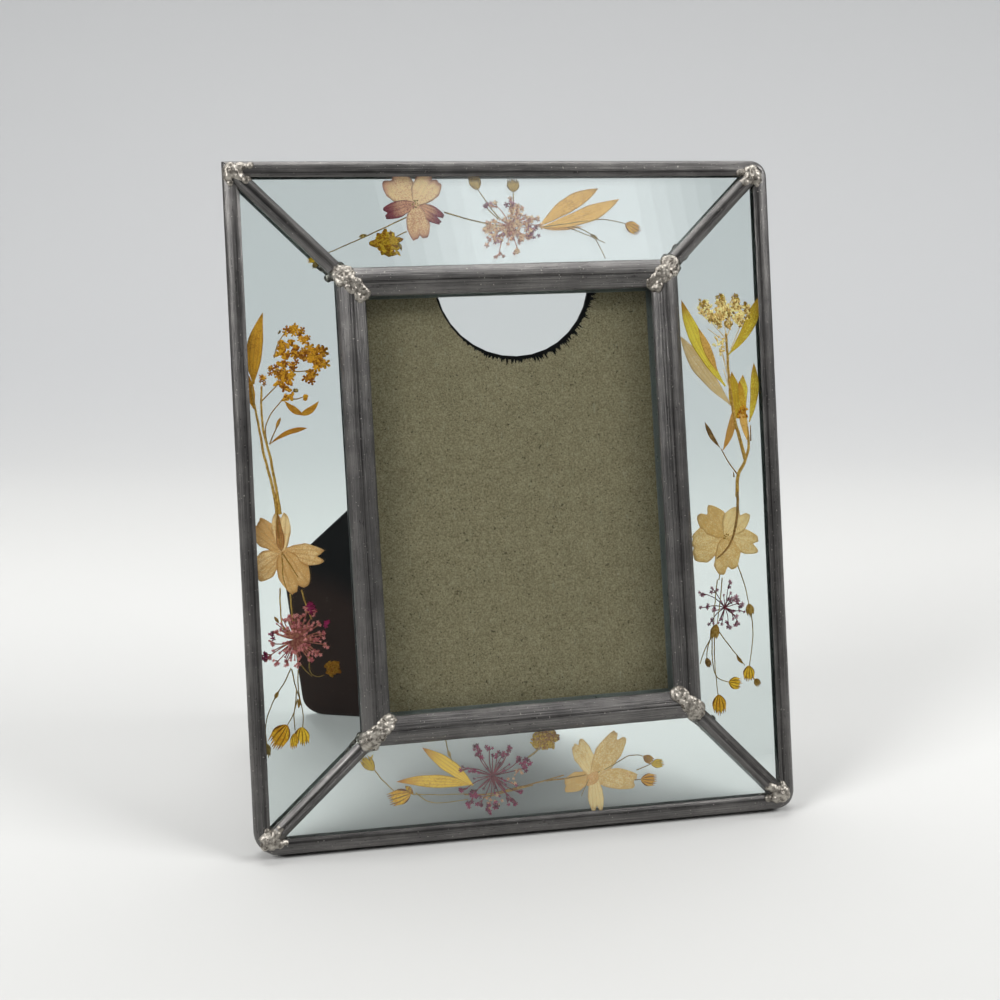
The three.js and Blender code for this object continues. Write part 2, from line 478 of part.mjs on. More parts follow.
const specimens = {
  top_bud_stem: ['top', [stem([[-30.4, 180.9], [-40.3, 176.4], [-53, 171]]), disc([-42.5, 175.5], 0.9)]],
  top_pink_flower: ['top', blossom([-26.8, 185.4], [[-33.2, 193, 7.4], [-21.2, 193.4, 6.6],
    [-19.4, 180.6, 5], [-26.6, 175.4, 7], [-34.9, 182.6, 4.8]])],
  top_yellow_head: ['top', [disc([-35.7, 173.4], 3.6, 12), stem([[-35.5, 175.5], [-32, 176.4], [-30.8, 176]])]],
  top_pink_umbel: ['top', [
    ...umbel([0.9, 178.2], [[-5.6, 176.6], [-3, 185], [2.2, 185.4], [6.4, 181], [6.6, 175.4], [3, 171],
      [-2.9, 170.6], [-5.4, 173], [7.6, 178.2], [-2, 181.6], [4.4, 183.4]], 1.5),
    stem([[-17.6, 182.4], [-6, 178.8], [0, 178.2]]), stem([[-8.6, 190.6], [-2.4, 180.7], [0, 178.6]]),
    stem([[2.5, 190], [1.4, 181.9], [1, 178.4]]), disc([-8.4, 191.4], 2), disc([2.6, 190.7], 2)]],
  top_leaf_sprig: ['top', [leaf([10.9, 178.2], [28.1, 189.3], 4.2, 0.55), leaf([10.9, 177.9], [34.2, 186], 4.2, 0.6),
    stem([[10.9, 177.9], [26.6, 179.8], [36.4, 178]]), disc([37.7, 177.2], 2, 10),
    stem([[17.6, 178.6], [28.8, 172.9]]), stem([[25.6, 174.8], [28, 169.8]])]],
  left_lone_bud: ['left', [disc([-56.6, 167.6], 1.4), stem([[-57.2, 167], [-60.4, 163.4]])]],
  left_orange_spray: ['left', [
    leaf([-75.3, 135], [-71.5, 154.7], 4.2, 0.45), leaf([-75.4, 128.6], [-76, 138], 2.4),
    stem([[-75.4, 129.4], [-74.1, 121.8], [-72.9, 116], [-71.1, 106.5], [-70.2, 99.6]], 0.9),
    stem([[-73.4, 120.6], [-68.1, 129], [-64.6, 136], [-61.6, 143], [-62.6, 148.4]], 0.7),
    stem([[-68.1, 129], [-66.6, 133], [-68.6, 138.6]]), stem([[-64.6, 136], [-57.6, 137.4]]),
    stem([[-61.6, 143], [-57, 141.4]]), stem([[-73, 116.8], [-69.1, 121.2], [-61.2, 121.3]]),
    stem([[-70.6, 119.6], [-69.1, 124.4]]), leaf([-68, 129], [-61.4, 125.6], 2),
    leaf([-62.3, 125.5], [-57.4, 128.3], 2.2),
    ...[[-63.4, 148.8], [-61.4, 145.8], [-62.2, 141.8], [-57.4, 142], [-57, 138.2], [-66, 137.8], [-69, 138.7],
      [-66.4, 132.6]].map((p) => disc(p, 2.2, 6))]],
  left_cream_flower: ['left', blossom([-69.5, 86.4], [[-68.8, 97, 6.2], [-75.6, 93, 6], [-59.4, 84.8, 7.6],
    [-65.9, 76.2, 7], [-75.9, 82, 8]])],
  left_pink_umbel: ['left', [
    ...umbel([-66.7, 61.4], [[-62.9, 69.4], [-67.8, 69.2], [-59.5, 65.6], [-58, 60], [-72.2, 64], [-74.4, 57.4],
      [-72.4, 54.6], [-63.2, 55.4], [-68, 54.4], [-59.6, 57.6], [-74, 61]], 1.7),
    stem([[-70.2, 73], [-67.6, 66], [-66.7, 61.4]]),
    stem([[-63, 55.8], [-63.2, 52.9], [-62.4, 50.9], [-60.5, 50.5], [-58, 52]]),
    disc([-56.5, 52.9], 2, 10)]],
  left_yellow_sprig: ['left', [stem([[-68.6, 51.4], [-72.8, 45.8], [-76.2, 38.6], [-76, 31.4]]),
    stem([[-69.1, 51.4], [-67.3, 43.7], [-66.8, 35.9]]), disc([-75.8, 31.2], 1.2),
    stem([[-72.8, 45.8], [-72.2, 35]]), disc([-75, 35.4], 1.7, 7), disc([-72.4, 34.2], 1.9, 7),
    disc([-69.5, 35], 1.6, 7), disc([-66.8, 34.2], 1.9, 7), stem([[-75, 35.4], [-69.5, 35]], 1),
    stem([[-67.3, 35], [-68.6, 31.6]]), disc([-68.7, 31.4], 1.1)]],
  right_yellow_spray: ['right', [
    leaf([63.8, 131], [51.6, 155], 3.8, 0.6), leaf([66.3, 124], [51.5, 143.6], 5.4, 0.55),
    leaf([66.6, 139.5], [77, 156.2], 4, 0.55), leaf([69.4, 121.6], [69.5, 133.4], 4.4),
    leaf([71.4, 121.6], [74.3, 136.1], 3.4), leaf([65.2, 110.6], [67.4, 123], 3.4),
    stem([[66.4, 148.5], [66, 137.8], [66.7, 125], [69, 120]], 0.9), disc([69.8, 121.6], 2),
    stem([[69.9, 120.3], [71.2, 110.8], [69.3, 102.1], [67.8, 96.6]], 0.9),
    leaf([61.8, 111.1], [57.4, 118.2], 1.8), stem([[61.6, 111.4], [68.6, 102.7]]), stem([[65.6, 111], [62, 111.4]]),
    ...[[59, 152.4], [63.4, 153.6], [67.6, 153.4], [71.6, 151.8], [64.4, 149.6], [68.2, 149.4]]
      .map((p) => disc(p, 2.4, 6)), stem([[59.4, 151.2], [66.2, 142], [71.4, 151.6]], 0.6)]],
  right_cream_flower: ['right', blossom([62.3, 84], [[56.4, 91.6, 8.4], [68.4, 91, 7.6], [72.2, 80.8, 7.8],
    [62.6, 74.4, 8.6], [52.8, 81.8, 7.2]])],
  right_purple_umbel: ['right', umbel([61.1, 62.7], [[53.7, 67.4], [57.8, 68.3], [62.6, 69.2], [65.2, 65.8],
    [65.8, 61.1], [65.2, 57.6], [61.9, 56.6], [56.4, 59], [53.9, 63.3]], 1.6)],
  right_bud_sprig: ['right', [stem([[69.6, 74], [69.4, 62.4], [69.8, 58.4], [68.4, 43.9]]),
    disc([69.5, 62.4], 1), disc([67.9, 42.4], 1.9), disc([70.9, 39.2], 1.2), stem([[68.2, 43], [70.9, 39.2]]),
    stem([[60, 53.8], [66.7, 44.4], [67.9, 42.4]]), stem([[60, 53.8], [57.3, 52.6], [56.8, 42.2], [57.4, 35]]),
    disc([57.7, 33.8], 2.4, 10), disc([63.4, 39.5], 1.8), stem([[56.8, 42.4], [63.4, 39.5]]),
    stem([[57.3, 54], [54.4, 47], [52, 46.7]]), stem([[57.3, 54.4], [57.3, 52]], 1.6), disc([54.2, 46.8], 1.1)]],
  bottom_leaf_sprig: ['bottom', [leaf([-23.4, 16.8], [-32.2, 27.6], 3.6), leaf([-23.4, 16.2], [-39.9, 18.4], 3.6),
    stem([[-46.6, 23], [-40.6, 16]]), disc([-47.5, 24.2], 1.8), disc([-39.2, 14], 2.6),
    stem([[-37.4, 14.4], [-35.2, 14.2], [-23, 14.4]]), stem([[-23.2, 17.4], [-22.6, 13.8]], 0.9)]],
  bottom_magenta_umbel: ['bottom', [
    ...umbel([-12, 18], [[-16.7, 26.4], [-12.2, 27], [-7, 25.8], [-4, 21.8], [-19.4, 21.4], [-19.4, 14.6],
      [-15.8, 10.4], [-11.4, 8.4], [-7.2, 10.2], [-3.8, 11.8], [-19, 17.8]], 1.8),
    stem([[-12, 17], [-1, 14.8], [8.4, 16]])]],
  bottom_yellow_head: ['bottom', [disc([3.7, 27], 3.3, 12), disc([1.6, 27], 2.4), disc([5.8, 27.2], 2.3),
    stem([[-0.6, 23.2], [2.4, 25.6]])]],
  bottom_cream_flower: ['bottom', blossom([18.7, 15.6], [[15.6, 25, 7.6], [24.4, 24.8, 8], [29.6, 13.4, 7.2],
    [19.2, 6.6, 6], [11.6, 13.4, 6.2]])],
  bottom_bud_pair: ['bottom', [stem([[24.4, 17.6], [30.3, 20], [35, 18.6]]), stem([[30.3, 20], [35, 20], [37.4, 17.2]]),
    disc([35, 18.2], 1.4), disc([37.5, 16.8], 1.4), stem([[33.6, 17.8], [34, 13]]), disc([35.3, 12.2], 2.2)]],
};

function pressed([side, outlines]) {
  const flat = outlines.map((outline) => plate(outline, -SPECIMEN / 2, SPECIMEN / 2));
  return lift(join(flat), side);
}

// ---------------------------------------------------------------- materials and assembly
const finish = {
  lead: ['#6b6867', 0.42, 0.85], solder: ['#cfcac4', 0.3, 0.9], glass: ['#d8e4e2', 0.05, 0],
  board: ['#6e6a55', 0.95, 0], paper: ['#17181a', 0.85, 0], tin: ['#8f9193', 0.4, 0.9],
  leg: ['#191a1c', 0.25, 0], pink: ['#b98c7e', 0.85, 0], yellow: ['#c79a2b', 0.85, 0],
  orange: ['#b0681f', 0.85, 0], cream: ['#cdb892', 0.85, 0], purple: ['#93507c', 0.85, 0],
  olive: ['#8a7a3a', 0.85, 0],
};
const specimenFinish = {
  pink_flower: 'pink', pink_umbel: 'pink', yellow: 'yellow', orange: 'orange', cream: 'cream',
  purple: 'purple', magenta: 'purple', leaf: 'yellow', bud: 'olive',
};

const frame = new THREE.Group();
function add(name, geometry, look) {
  const [color, roughness, metalness] = finish[look];
  const material = new THREE.MeshStandardMaterial({ color, roughness, metalness });
  const mesh = new THREE.Mesh(geometry.applyMatrix4(leanBack), material);
  mesh.name = name;
  frame.add(mesh);
}

add('border_came', borderSweep(borderSection, 0.35), 'lead');
const cornerName = { tl: 'top_left', tr: 'top_right', br: 'bottom_right', bl: 'bottom_left' };
for (const [corner, name] of Object.entries(cornerName)) {
  add(`corner_came_${name}`, hipSweep(corner, hipSection, 9.7, 0.6), 'lead');
  add(`solder_outer_${name}`, outerSolder(corner, true), 'solder');
  add(`solder_inner_${name}`, innerSolder(corner), 'solder');
  add(`solder_back_${name}`, outerSolder(corner, false), 'solder');
}
for (const side of Object.keys(panel)) {
  add(`pane_front_${side}`, pane(side, POCKET / 2, half), 'glass');
  add(`pane_back_${side}`, pane(side, -half, -POCKET / 2), 'glass');
  add(`window_came_${side}`, windowBar(side, windowSection, 0.2), 'lead');
}
add('window_glass', windowGlass(), 'glass');
add('backing_board', inWindow(plate(boardOutline(0), BOARD_BACK, BOARD_BACK + BOARD_T)), 'board');
add('back_paper', inWindow(plate(boardOutline(0.1), BOARD_BACK - GAP - PAPER, BOARD_BACK - GAP)), 'paper');
add('back_rail', backRail(), 'lead');
add('hinge_fixed_leaf', hingeFixed(), 'tin');
add('hinge_moving_leaf', hingeMoving(), 'tin');
add('easel_leg', easelLeg(), 'leg');
for (const [name, specimen] of Object.entries(specimens)) {
  const look = Object.keys(specimenFinish).find((key) => name.includes(key));
  add(name, pressed(specimen), specimenFinish[look]);
}

// The origin is the middle of the footprint, on the surface that the frame stands on.
const reach = new THREE.Box3().setFromObject(frame);
const middle = reach.getCenter(new THREE.Vector3());
for (const mesh of frame.children) mesh.geometry.translate(-middle.x, -middle.y, -reach.min.z);

export default frame;
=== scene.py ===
# %% [markdown]
# # A leaded-glass photo frame with pressed flowers
# The packed model is the fixed skeleton: every size, mount and joint is settled there. This
# lesson dresses it. Everything is measured flat first, as the maker lays the frame out on the
# bench (u to the right, v up the frame, n towards the viewer, in millimetres), and then stood
# up, leaning back on its leg.

# %% Load the skeleton
import bpy, bmesh, math, random
from contextlib import contextmanager
import numpy as np
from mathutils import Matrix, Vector, noise


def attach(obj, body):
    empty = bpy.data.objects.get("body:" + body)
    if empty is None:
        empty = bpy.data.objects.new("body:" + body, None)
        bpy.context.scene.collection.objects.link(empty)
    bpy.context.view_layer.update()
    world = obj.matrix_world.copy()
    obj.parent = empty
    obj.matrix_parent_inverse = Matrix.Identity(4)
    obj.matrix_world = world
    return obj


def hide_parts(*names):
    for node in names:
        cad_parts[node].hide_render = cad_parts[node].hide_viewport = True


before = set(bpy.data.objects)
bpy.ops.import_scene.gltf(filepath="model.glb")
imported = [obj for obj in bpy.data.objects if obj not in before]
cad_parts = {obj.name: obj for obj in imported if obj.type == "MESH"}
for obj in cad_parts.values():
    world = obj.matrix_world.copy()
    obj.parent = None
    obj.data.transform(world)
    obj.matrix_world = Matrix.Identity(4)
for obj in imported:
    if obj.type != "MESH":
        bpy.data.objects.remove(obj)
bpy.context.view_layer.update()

# %% [markdown]
# ## From the bench to the shelf
# The side panes rise towards the window, so what lies in or on them is lifted by a slope times
# its distance from the border. The window is turned by a hair, as a hand-built one is. One
# function does all of it, so that no piece has to be fitted by eye.

# %% Bench measures
WIDTH, HEIGHT, LEAN, SLOPE = 162.5, 197.9, math.radians(15.54), 5.2 / 31
WIN_W, WIN_H, WIN_Y, WIN_TURN = 100.5, 136.0, 98.6, math.radians(0.67)
BACK, LIFT = 44.2762, 0.69657  # puts the stood-up frame over the origin, on the shelf
NOTCH, NOTCH_RADIUS = (1.8, 64.75, 1.9), 23.45  # from the window's centre


def rise(side, u, v):
    """Height that the slope of a side pane adds at (u, v)."""
    reach = {"left": WIDTH / 2 + u, "right": WIDTH / 2 - u, "bottom": v, "top": HEIGHT - v}
    far = np.minimum.reduce(list(reach.values())) if side == "all" else reach[side]
    return SLOPE * np.maximum(0, far)


def stand(flat, side=None):
    """Flat bench points in millimetres, stood up and leaned back, in metres."""
    u, v, n = np.asarray(flat, float).T
    if side:
        n = n + rise(side, u, v)
    back, up = math.sin(LEAN), math.cos(LEAN)
    return np.stack([u, v * back - n * up - BACK, v * up + n * back + LIFT], 1) / 1000


def in_window(flat):
    """Points measured from the window's own centre, turned as the window is."""
    x, y, n = np.asarray(flat, float).T
    c, s = math.cos(WIN_TURN), math.sin(WIN_TURN)
    return np.stack([x * c - y * s, x * s + y * c + WIN_Y, n], 1)


print("top edge stands", round(stand([[0, HEIGHT, 0]])[0, 2] * 1000, 1), "mm above the shelf")

# %% [markdown]
# ## Where the viewer stands
# A long lens a third of a metre away, a little left of the middle and looking down, shows the
# frame as one picks it out on a shelf. Depth of field stays off.

# %% Camera
camera = bpy.data.objects.new("camera", bpy.data.cameras.new("camera"))
bpy.context.collection.objects.link(camera)
dip, swing = math.radians(15.753), math.radians(10)
camera.location = (-0.06622, -0.36320, 0.19428)
camera.rotation_euler = (math.pi / 2 - dip, 0, -swing)
camera.data.lens, camera.data.sensor_width = 44.318, 36
camera.data.clip_start = 0.01
bpy.context.scene.camera = camera
print("camera", [round(x * 1000) for x in camera.location], "mm")

# %% [markdown]
# ## Sums in a material
# A procedural finish is mostly arithmetic on noise. Wiring every Math node by hand hides the
# idea, so one small class lets a finish be written as plain sums: each operator makes its node.

# %% Wires that add up


def new_node(tree, kind, settings=None, sockets=None):
    """A node of any tree: its settings are made first, then its sockets are joined or filled."""
    made = tree.nodes.new(kind)
    for key, value in (settings or {}).items():
        setattr(made, key, value)
    for key, value in (sockets or {}).items():
        value = value.socket if isinstance(value, Wire) else value
        if isinstance(value, bpy.types.NodeSocket):
            tree.links.new(value, made.inputs[key])
        else:
            made.inputs[key].default_value = value
    return made


class Wire:
    """One output of a material node; sums written with it become nodes."""

    def __init__(self, tree, socket=None):
        self.tree, self.socket = tree, socket

    def node(self, kind, settings=None, sockets=None, out=0):
        """Any other node: its type, its settings, its sockets and which output is wanted."""
        made = new_node(self.tree, "ShaderNode" + kind, settings, sockets)
        return Wire(self.tree, made.outputs[out])

    def sum(self, operation, *others):
        """Number sums go through Math, sums on a place or colour through Vector Math."""
        if self.socket.type in ("VECTOR", "RGBA"):
            triple = [x if isinstance(x, Wire) else (x, x, x) if isinstance(x, (int, float)) else x
                      for x in others]
            return self.node("VectorMath", {"operation": operation}, dict(enumerate([self, *triple])))
        return self.node("Math", {"operation": operation}, dict(enumerate([self, *others])))

    def __add__(self, other): return self.sum("ADD", other)
    def __sub__(self, other): return self.sum("SUBTRACT", other)
    def __mul__(self, other): return self.sum("MULTIPLY", other)
    def __neg__(self): return self.sum("MULTIPLY", -1.0)
    def __radd__(self, other): return self.sum("ADD", other)
    def __rmul__(self, other): return self.sum("MULTIPLY", other)
    def __rsub__(self, other): return (-self).sum("ADD", other)
    def __abs__(self): return self.sum("ABSOLUTE")

    def parts(self):
        """The three numbers in a place."""
        split = self.node("SeparateXYZ", sockets={0: self}).socket.node
        return [Wire(self.tree, output) for output in split.outputs]

    def noise(self, scale, detail=3.0, rough=0.5, twist=0.0):
        return self.node("TexNoise", None, {
            "Vector": self, "Scale": scale, "Detail": detail, "Roughness": rough, "Distortion": twist})

    def ramp(self, low, high):
        """0 below low, 1 above high, smooth between."""
        return self.node("MapRange", {"interpolation_type": "SMOOTHSTEP"},
                         {"Value": self, "From Min": low, "From Max": high})

    def blend(self, first, second):
        """The first colour where the wire is 0, the second where it is 1."""
        full = [c if isinstance(c, Wire) else (*c, 1) for c in (first, second)]
        return self.node("Mix", {"data_type": "RGBA", "clamp_factor": True},
                         {0: self, 6: full[0], 7: full[1]}, out=2)

    def bump(self, strength, depth):
        return self.node("Bump", None, {"Strength": strength, "Distance": depth, "Height": self})


print("a wire knows", sum(callable(value) for value in vars(Wire).values()), "sums and patterns")

# %% [markdown]
# A finish starts as Blender's standard shader with its fixed numbers set. Colours are given as on
# a paint chart, and patterns start from the object's own coordinates, so that they stay put on a
# piece wherever it is moved.

# %% A new finish


def rgb(r, g, b):
    """A colour as a paint chart gives it, 0 to 255, in the linear light that Blender mixes."""
    return tuple(c / 12.92 if c <= 0.04045 else ((c + 0.055) / 1.055) ** 2.4
                 for c in (r / 255, g / 255, b / 255))


def new_finish(name, **fixed):
    """A material with its fixed numbers set, its shader, and the place wire."""
    material = bpy.data.materials.new(name)
    material.use_nodes = True
    tree = material.node_tree
    shader = tree.nodes["Principled BSDF"]
    for key, value in fixed.items():
        key = key.replace("_", " ")
        shader.inputs[key].default_value = (*value, 1) if isinstance(value, tuple) else value
    place = Wire(tree).node("TexCoord", out=3)
    return material, shader, place


def wire_up(shader, **wires):
    """Joins finished wires to the shader's own sockets."""
    for key, wire in wires.items():
        wire.tree.links.new(wire.socket, shader.inputs[key.replace("_", " ")])


print("a finish is now written as sums, such as place.noise(900) * 0.5 + 0.2")

# %% [markdown]
# ## Lead
# Came is lead drawn through a mill, so it carries fine lines along its length. Patina and years
# of handling have turned it a warm dark grey, with paler scratches and worn ridges. The lines
# follow the strip, so they read the strip's own UV map: millimetres along and across it. The
# blotches read the object's place.

# %% Lead finish
lead, shader, place = new_finish("lead", Specular_IOR_Level=0.5)
strip = place.node("UVMap", {"uv_map": "strip"})
along, across, _ = strip.parts()
drawn = strip.node("CombineXYZ", None, {"X": along * 0.03, "Y": across * 5.5}).noise(1.0, 4.0, 0.6)
fine = strip.node("CombineXYZ", None, {"X": along * 0.12, "Y": across * 21.0}).noise(1.0, 2.0)
blotch = place.noise(95, 4.0, 0.6)
grain = place.noise(1500, 3.0, 0.7)
nick = strip.node("CombineXYZ", None, {"X": along * 0.5, "Y": across * 3.0}).noise(1.0, 2.0, 0.4, 1.2)
speck = place.noise(1900, 1.0).ramp(0.72, 0.77)
# Painted light and shade: inside the channel the lead is made brighter and less metallic, partly the
# fresh skin that patina spared and partly painted light where light hardly reaches; the crease on the
# face is darkened as painted shade.
wear = place.node("Attribute", {"attribute_name": "wear"}, out=2)
bright_skin_and_fill, crease_shade = wear.ramp(0.0, 1.0), (wear * -1.0).ramp(0.0, 1.0)
bright = drawn.ramp(0.34, 0.72) * 0.5 + fine.ramp(0.4, 0.75) * 0.25 + blotch.ramp(0.36, 0.66) * 0.2
tone = bright.blend(rgb(70, 69, 69), rgb(148, 145, 142))
# Painted shade darkens the crease on the face.
tone = (crease_shade * (0.25 + drawn.ramp(0.7, 0.4) * 0.45)).blend(tone, rgb(34, 32, 33))
# Painted light, with the paler fresh skin: the channel is brightened.
tone = bright_skin_and_fill.blend(tone, rgb(142, 147, 142))
tone = nick.ramp(0.66, 0.74).blend(tone, rgb(58, 55, 56))
tone = (speck * 0.8).blend(tone, rgb(206, 200, 192))
relief = drawn * 0.6 + fine * 0.25 + grain * 0.12 + blotch * 0.3
wire_up(shader, Base_Color=tone, Metallic=0.88 - bright_skin_and_fill * 0.7,
        Roughness=blotch * 0.1 + grain * 0.1 + 0.26, Normal=relief.bump(0.55, 0.0002))
print("lead has", len(lead.node_tree.nodes), "nodes")

# %% [markdown]
# ## Solder
# Tin solder is brighter than the lead and freezes in lumps. Flux leaves dark pits in the
# hollows, so a second, coarser noise darkens and roughens it there.

# %% Solder finish
solder, shader, place = new_finish("solder", Metallic=0.92)
lumps = place.noise(560, 3.0, 0.6)
pits = place.noise(760, 3.0, 0.6, 0.8).ramp(0.58, 0.68)
crust = place.noise(2300, 2.0)
tone = lumps.ramp(0.3, 0.68).blend(rgb(104, 99, 92), rgb(190, 184, 174))
tone = (pits * 0.85).blend(tone, rgb(70, 62, 54))
wire_up(shader, Base_Color=tone, Roughness=lumps * 0.2 + pits * 0.3 + 0.34,
        Normal=(lumps + crust * 0.2 - pits * 0.4).bump(0.4, 0.0003))
print("solder done")

# %% [markdown]
# ## Glass
# Plain clear sheet: full transmission, an index of 1.5 and a breath of green, which shows as
# the cool cast of two panes over a pale wall. The faint waviness of old drawn glass bends the
# reflections a little.

# %% Glass finish
glass, shader, place = new_finish("clear_glass", Base_Color=(0.94, 0.985, 0.98), Roughness=0.0,
                                  IOR=1.5, Transmission_Weight=1.0)
wire_up(shader, Normal=place.noise(16, 1.0).bump(0.05, 0.0006))
print("glass done")

# %% [markdown]
# ## Chipboard
# The board is unbleached grey-green chipboard: fibres pressed at random, dark specks, a few
# pale scuffs. Its back is lined with black paper, and where the thumb notch was punched a ragged
# rim of that black shows on the face. The rim is a distance from the notch's centre, torn by
# noise that depends only on the way round, so that it frays outwards.

# %% Chipboard finish
board, shader, place = new_finish("chipboard", Specular_IOR_Level=0.2)
pulp = place.noise(170, 5.0, 0.7)
fibre = place.noise(1900, 3.0, 0.75)
hair = place.node("Mapping", None,
                  {"Vector": place, "Rotation": (0.5, 0.9, 0.3), "Scale": (1500, 400, 240)})
hair = hair.noise(1.0, 1.0, 0.4, 2.0).ramp(0.68, 0.74)
specks = place.noise(1250, 2.0, 0.5).ramp(0.67, 0.71)
dots = place.noise(560, 1.0).ramp(0.76, 0.79)
shade = (pulp * 0.3 + (fibre - 0.5) * 1.9 + 0.35).ramp(0.0, 1.0)
tone = shade.blend(rgb(132, 119, 88), rgb(210, 194, 158))
tone = (hair * 0.55).blend(tone, rgb(202, 194, 164))
tone = (specks * 0.75 + dots * 0.6).blend(tone, rgb(62, 56, 40))
arm = place - tuple(float(x) for x in stand(in_window([NOTCH]))[0])
reach = arm.node("VectorMath", {"operation": "LENGTH"}, {0: arm}, out=1) * 1000
ray = arm.node("VectorMath", {"operation": "NORMALIZE"}, {0: arm})
comb = ray.noise(30, 4.0, 0.75)
sideways, _, upward = ray.parts()
heavy = (sideways * 0.55 - upward * 0.6 + 0.35).ramp(0.2, 1.1)
rim = reach - NOTCH_RADIUS - heavy * 0.5 - comb.ramp(0.4, 0.72) * heavy * 2.6
tone = rim.ramp(0.0, 0.12).blend(rgb(9, 9, 10), tone)
wire_up(shader, Base_Color=tone, Roughness=pulp * 0.1 + 0.85,
        Normal=(fibre + pulp * 0.6 + specks * 0.3).bump(0.45, 0.00025))
print("chipboard has", len(board.node_tree.nodes), "nodes")

# %% [markdown]
# ## Paper, tin and the leg's skin
# The lining paper is matt and rubbed grey in places. The hinge is stamped from tin, brushed one
# way and dulled in stains. The leg is board under a glossy black skin that gathers dust, and low
# down a painted reflection tints the skin dark brown. All three are noise blended between two
# close colours.

# %% Black paper, tin and the leg's skin
paper, shader, place = new_finish("black_paper", Specular_IOR_Level=0.25)
weave = place.noise(1300, 4.0, 0.7)
worn = (place.noise(60, 3.0) * 0.6 + weave * 0.4).ramp(0.35, 0.75)
wire_up(shader, Base_Color=worn.blend(rgb(22, 22, 24), rgb(44, 43, 44)),
        Roughness=weave * 0.2 + 0.65, Normal=weave.bump(0.3, 0.0001))

tin, shader, place = new_finish("tin_hinge", Metallic=1.0)
rub = place.node("Mapping", None, {"Vector": place, "Rotation": (0, 0.52, 0), "Scale": (60, 900, 1400)})
rub = rub.noise(1.0, 3.0)
stain = place.noise(160, 4.0, 0.6)
dull = (stain * 0.7 + rub * 0.4).ramp(0.35, 0.8)
wire_up(shader, Base_Color=dull.blend(rgb(112, 110, 106), rgb(186, 184, 180)),
        Roughness=stain * 0.3 + 0.22, Normal=(rub + stain).bump(0.2, 0.0001))

black, shader, place = new_finish("black_gloss", IOR=1.25, Specular_IOR_Level=0.15)
dust = place.noise(1500, 2.0, 0.6).ramp(0.71, 0.76) * place.noise(120, 3.0).ramp(0.4, 0.7)
smear = place.noise(38, 3.0, 0.6)
side, _, height = place.parts()
# Painted reflection: low down, the leg's black skin is tinted dark brown, standing in for what its gloss
# mirrors there.
low = (smear * 0.01 - side * 0.45 - height * 1.2 + 0.04).ramp(-0.006, 0.012)
skin_and_reflection = smear.blend(rgb(7, 7, 8), rgb(13, 12, 12))
skin_and_reflection = low.blend(skin_and_reflection, rgb(46, 32, 27))
wire_up(shader, Base_Color=(dust * 0.6).blend(skin_and_reflection, rgb(170, 166, 160)),
        Roughness=smear * 0.1 + dust * 0.5 + 0.08, Normal=(smear + dust * 0.2).bump(0.06, 0.0003))
print("board, paper, tin and leg done")

# %% [markdown]
# ## Trees that grow a mesh
# What repeats or follows a path is grown by Geometry Nodes. This class writes such a tree line by
# line, with named inputs for its sizes, and closes it with real geometry in the finish asked for.
# Once grown, a piece is a plain mesh and needs its tree no more.

# %% Geometry Nodes helpers


class Graph:
    """A Geometry Nodes tree written from the top down."""

    def __init__(self, name, **sizes):
        self.tree = bpy.data.node_groups.new(name, "GeometryNodeTree")
        face = self.tree.interface
        face.new_socket("Geometry", in_out="INPUT", socket_type="NodeSocketGeometry")
        face.new_socket("Geometry", in_out="OUTPUT", socket_type="NodeSocketGeometry")
        for key, kind in sizes.items():
            face.new_socket(key, in_out="INPUT", socket_type="NodeSocket" + kind)
        self.given = self.tree.nodes.new("NodeGroupInput").outputs

    def node(self, kind, settings=None, sockets=None, out=0):
        """One output of a new node; a kind with no family named is a Geometry Node."""
        family = "" if kind.startswith(("Shader", "Function")) else "GeometryNode"
        return new_node(self.tree, family + kind, settings, sockets).outputs[out]

    def math(self, operation, *terms):
        return self.node("ShaderNodeMath", {"operation": operation}, dict(enumerate(terms)))

    def vector(self, operation, *terms, scale=None):
        sockets = dict(enumerate(terms))
        if scale is not None:
            sockets["Scale"] = scale
        return self.node("ShaderNodeVectorMath", {"operation": operation}, sockets)

    def noise(self, spot, scale, detail, out=0):
        return self.node("ShaderNodeTexNoise", None,
                         {"Vector": spot, "Scale": scale, "Detail": detail}, out)

    def stored(self, name):
        """A number that every point carries."""
        return self.node("InputNamedAttribute", {"data_type": "FLOAT"}, {"Name": name})

    def pushed(self, shape, distance):
        """The shape with its skin pushed out by a distance."""
        push = self.vector("SCALE", self.node("InputNormal"), scale=distance)
        return self.node("SetPosition", None, {"Geometry": shape, "Offset": push})

    def pressed(self, shape):
        """The shape flattened by the input Flat."""
        squash = self.node("ShaderNodeCombineXYZ", None, {"X": 1.0, "Y": 1.0, "Z": self.given["Flat"]})
        flat = self.vector("MULTIPLY", self.node("InputPosition"), squash)
        return self.node("SetPosition", None, {"Geometry": shape, "Position": flat})

    def close(self, geometry):
        """Ends the tree: instances made real, then the finish that the user names."""
        real = self.node("RealizeInstances", None, {0: geometry})
        done = self.node("SetMaterial", None, {"Geometry": real, "Material": self.given["Finish"]})
        self.tree.links.new(done, self.tree.nodes.new("NodeGroupOutput").inputs[0])
        print(self.tree.name, "has", len(self.tree.nodes), "nodes")
        return self.tree


def mesh_object(name, points, edges=(), faces=()):
    """A new piece at the origin, from its points and the edges or faces between them."""
    data = bpy.data.meshes.new(name)
    data.from_pydata([tuple(map(float, p)) for p in points], list(edges), list(faces))
    piece = bpy.data.objects.new(name, data)
    bpy.context.collection.objects.link(piece)
    return piece


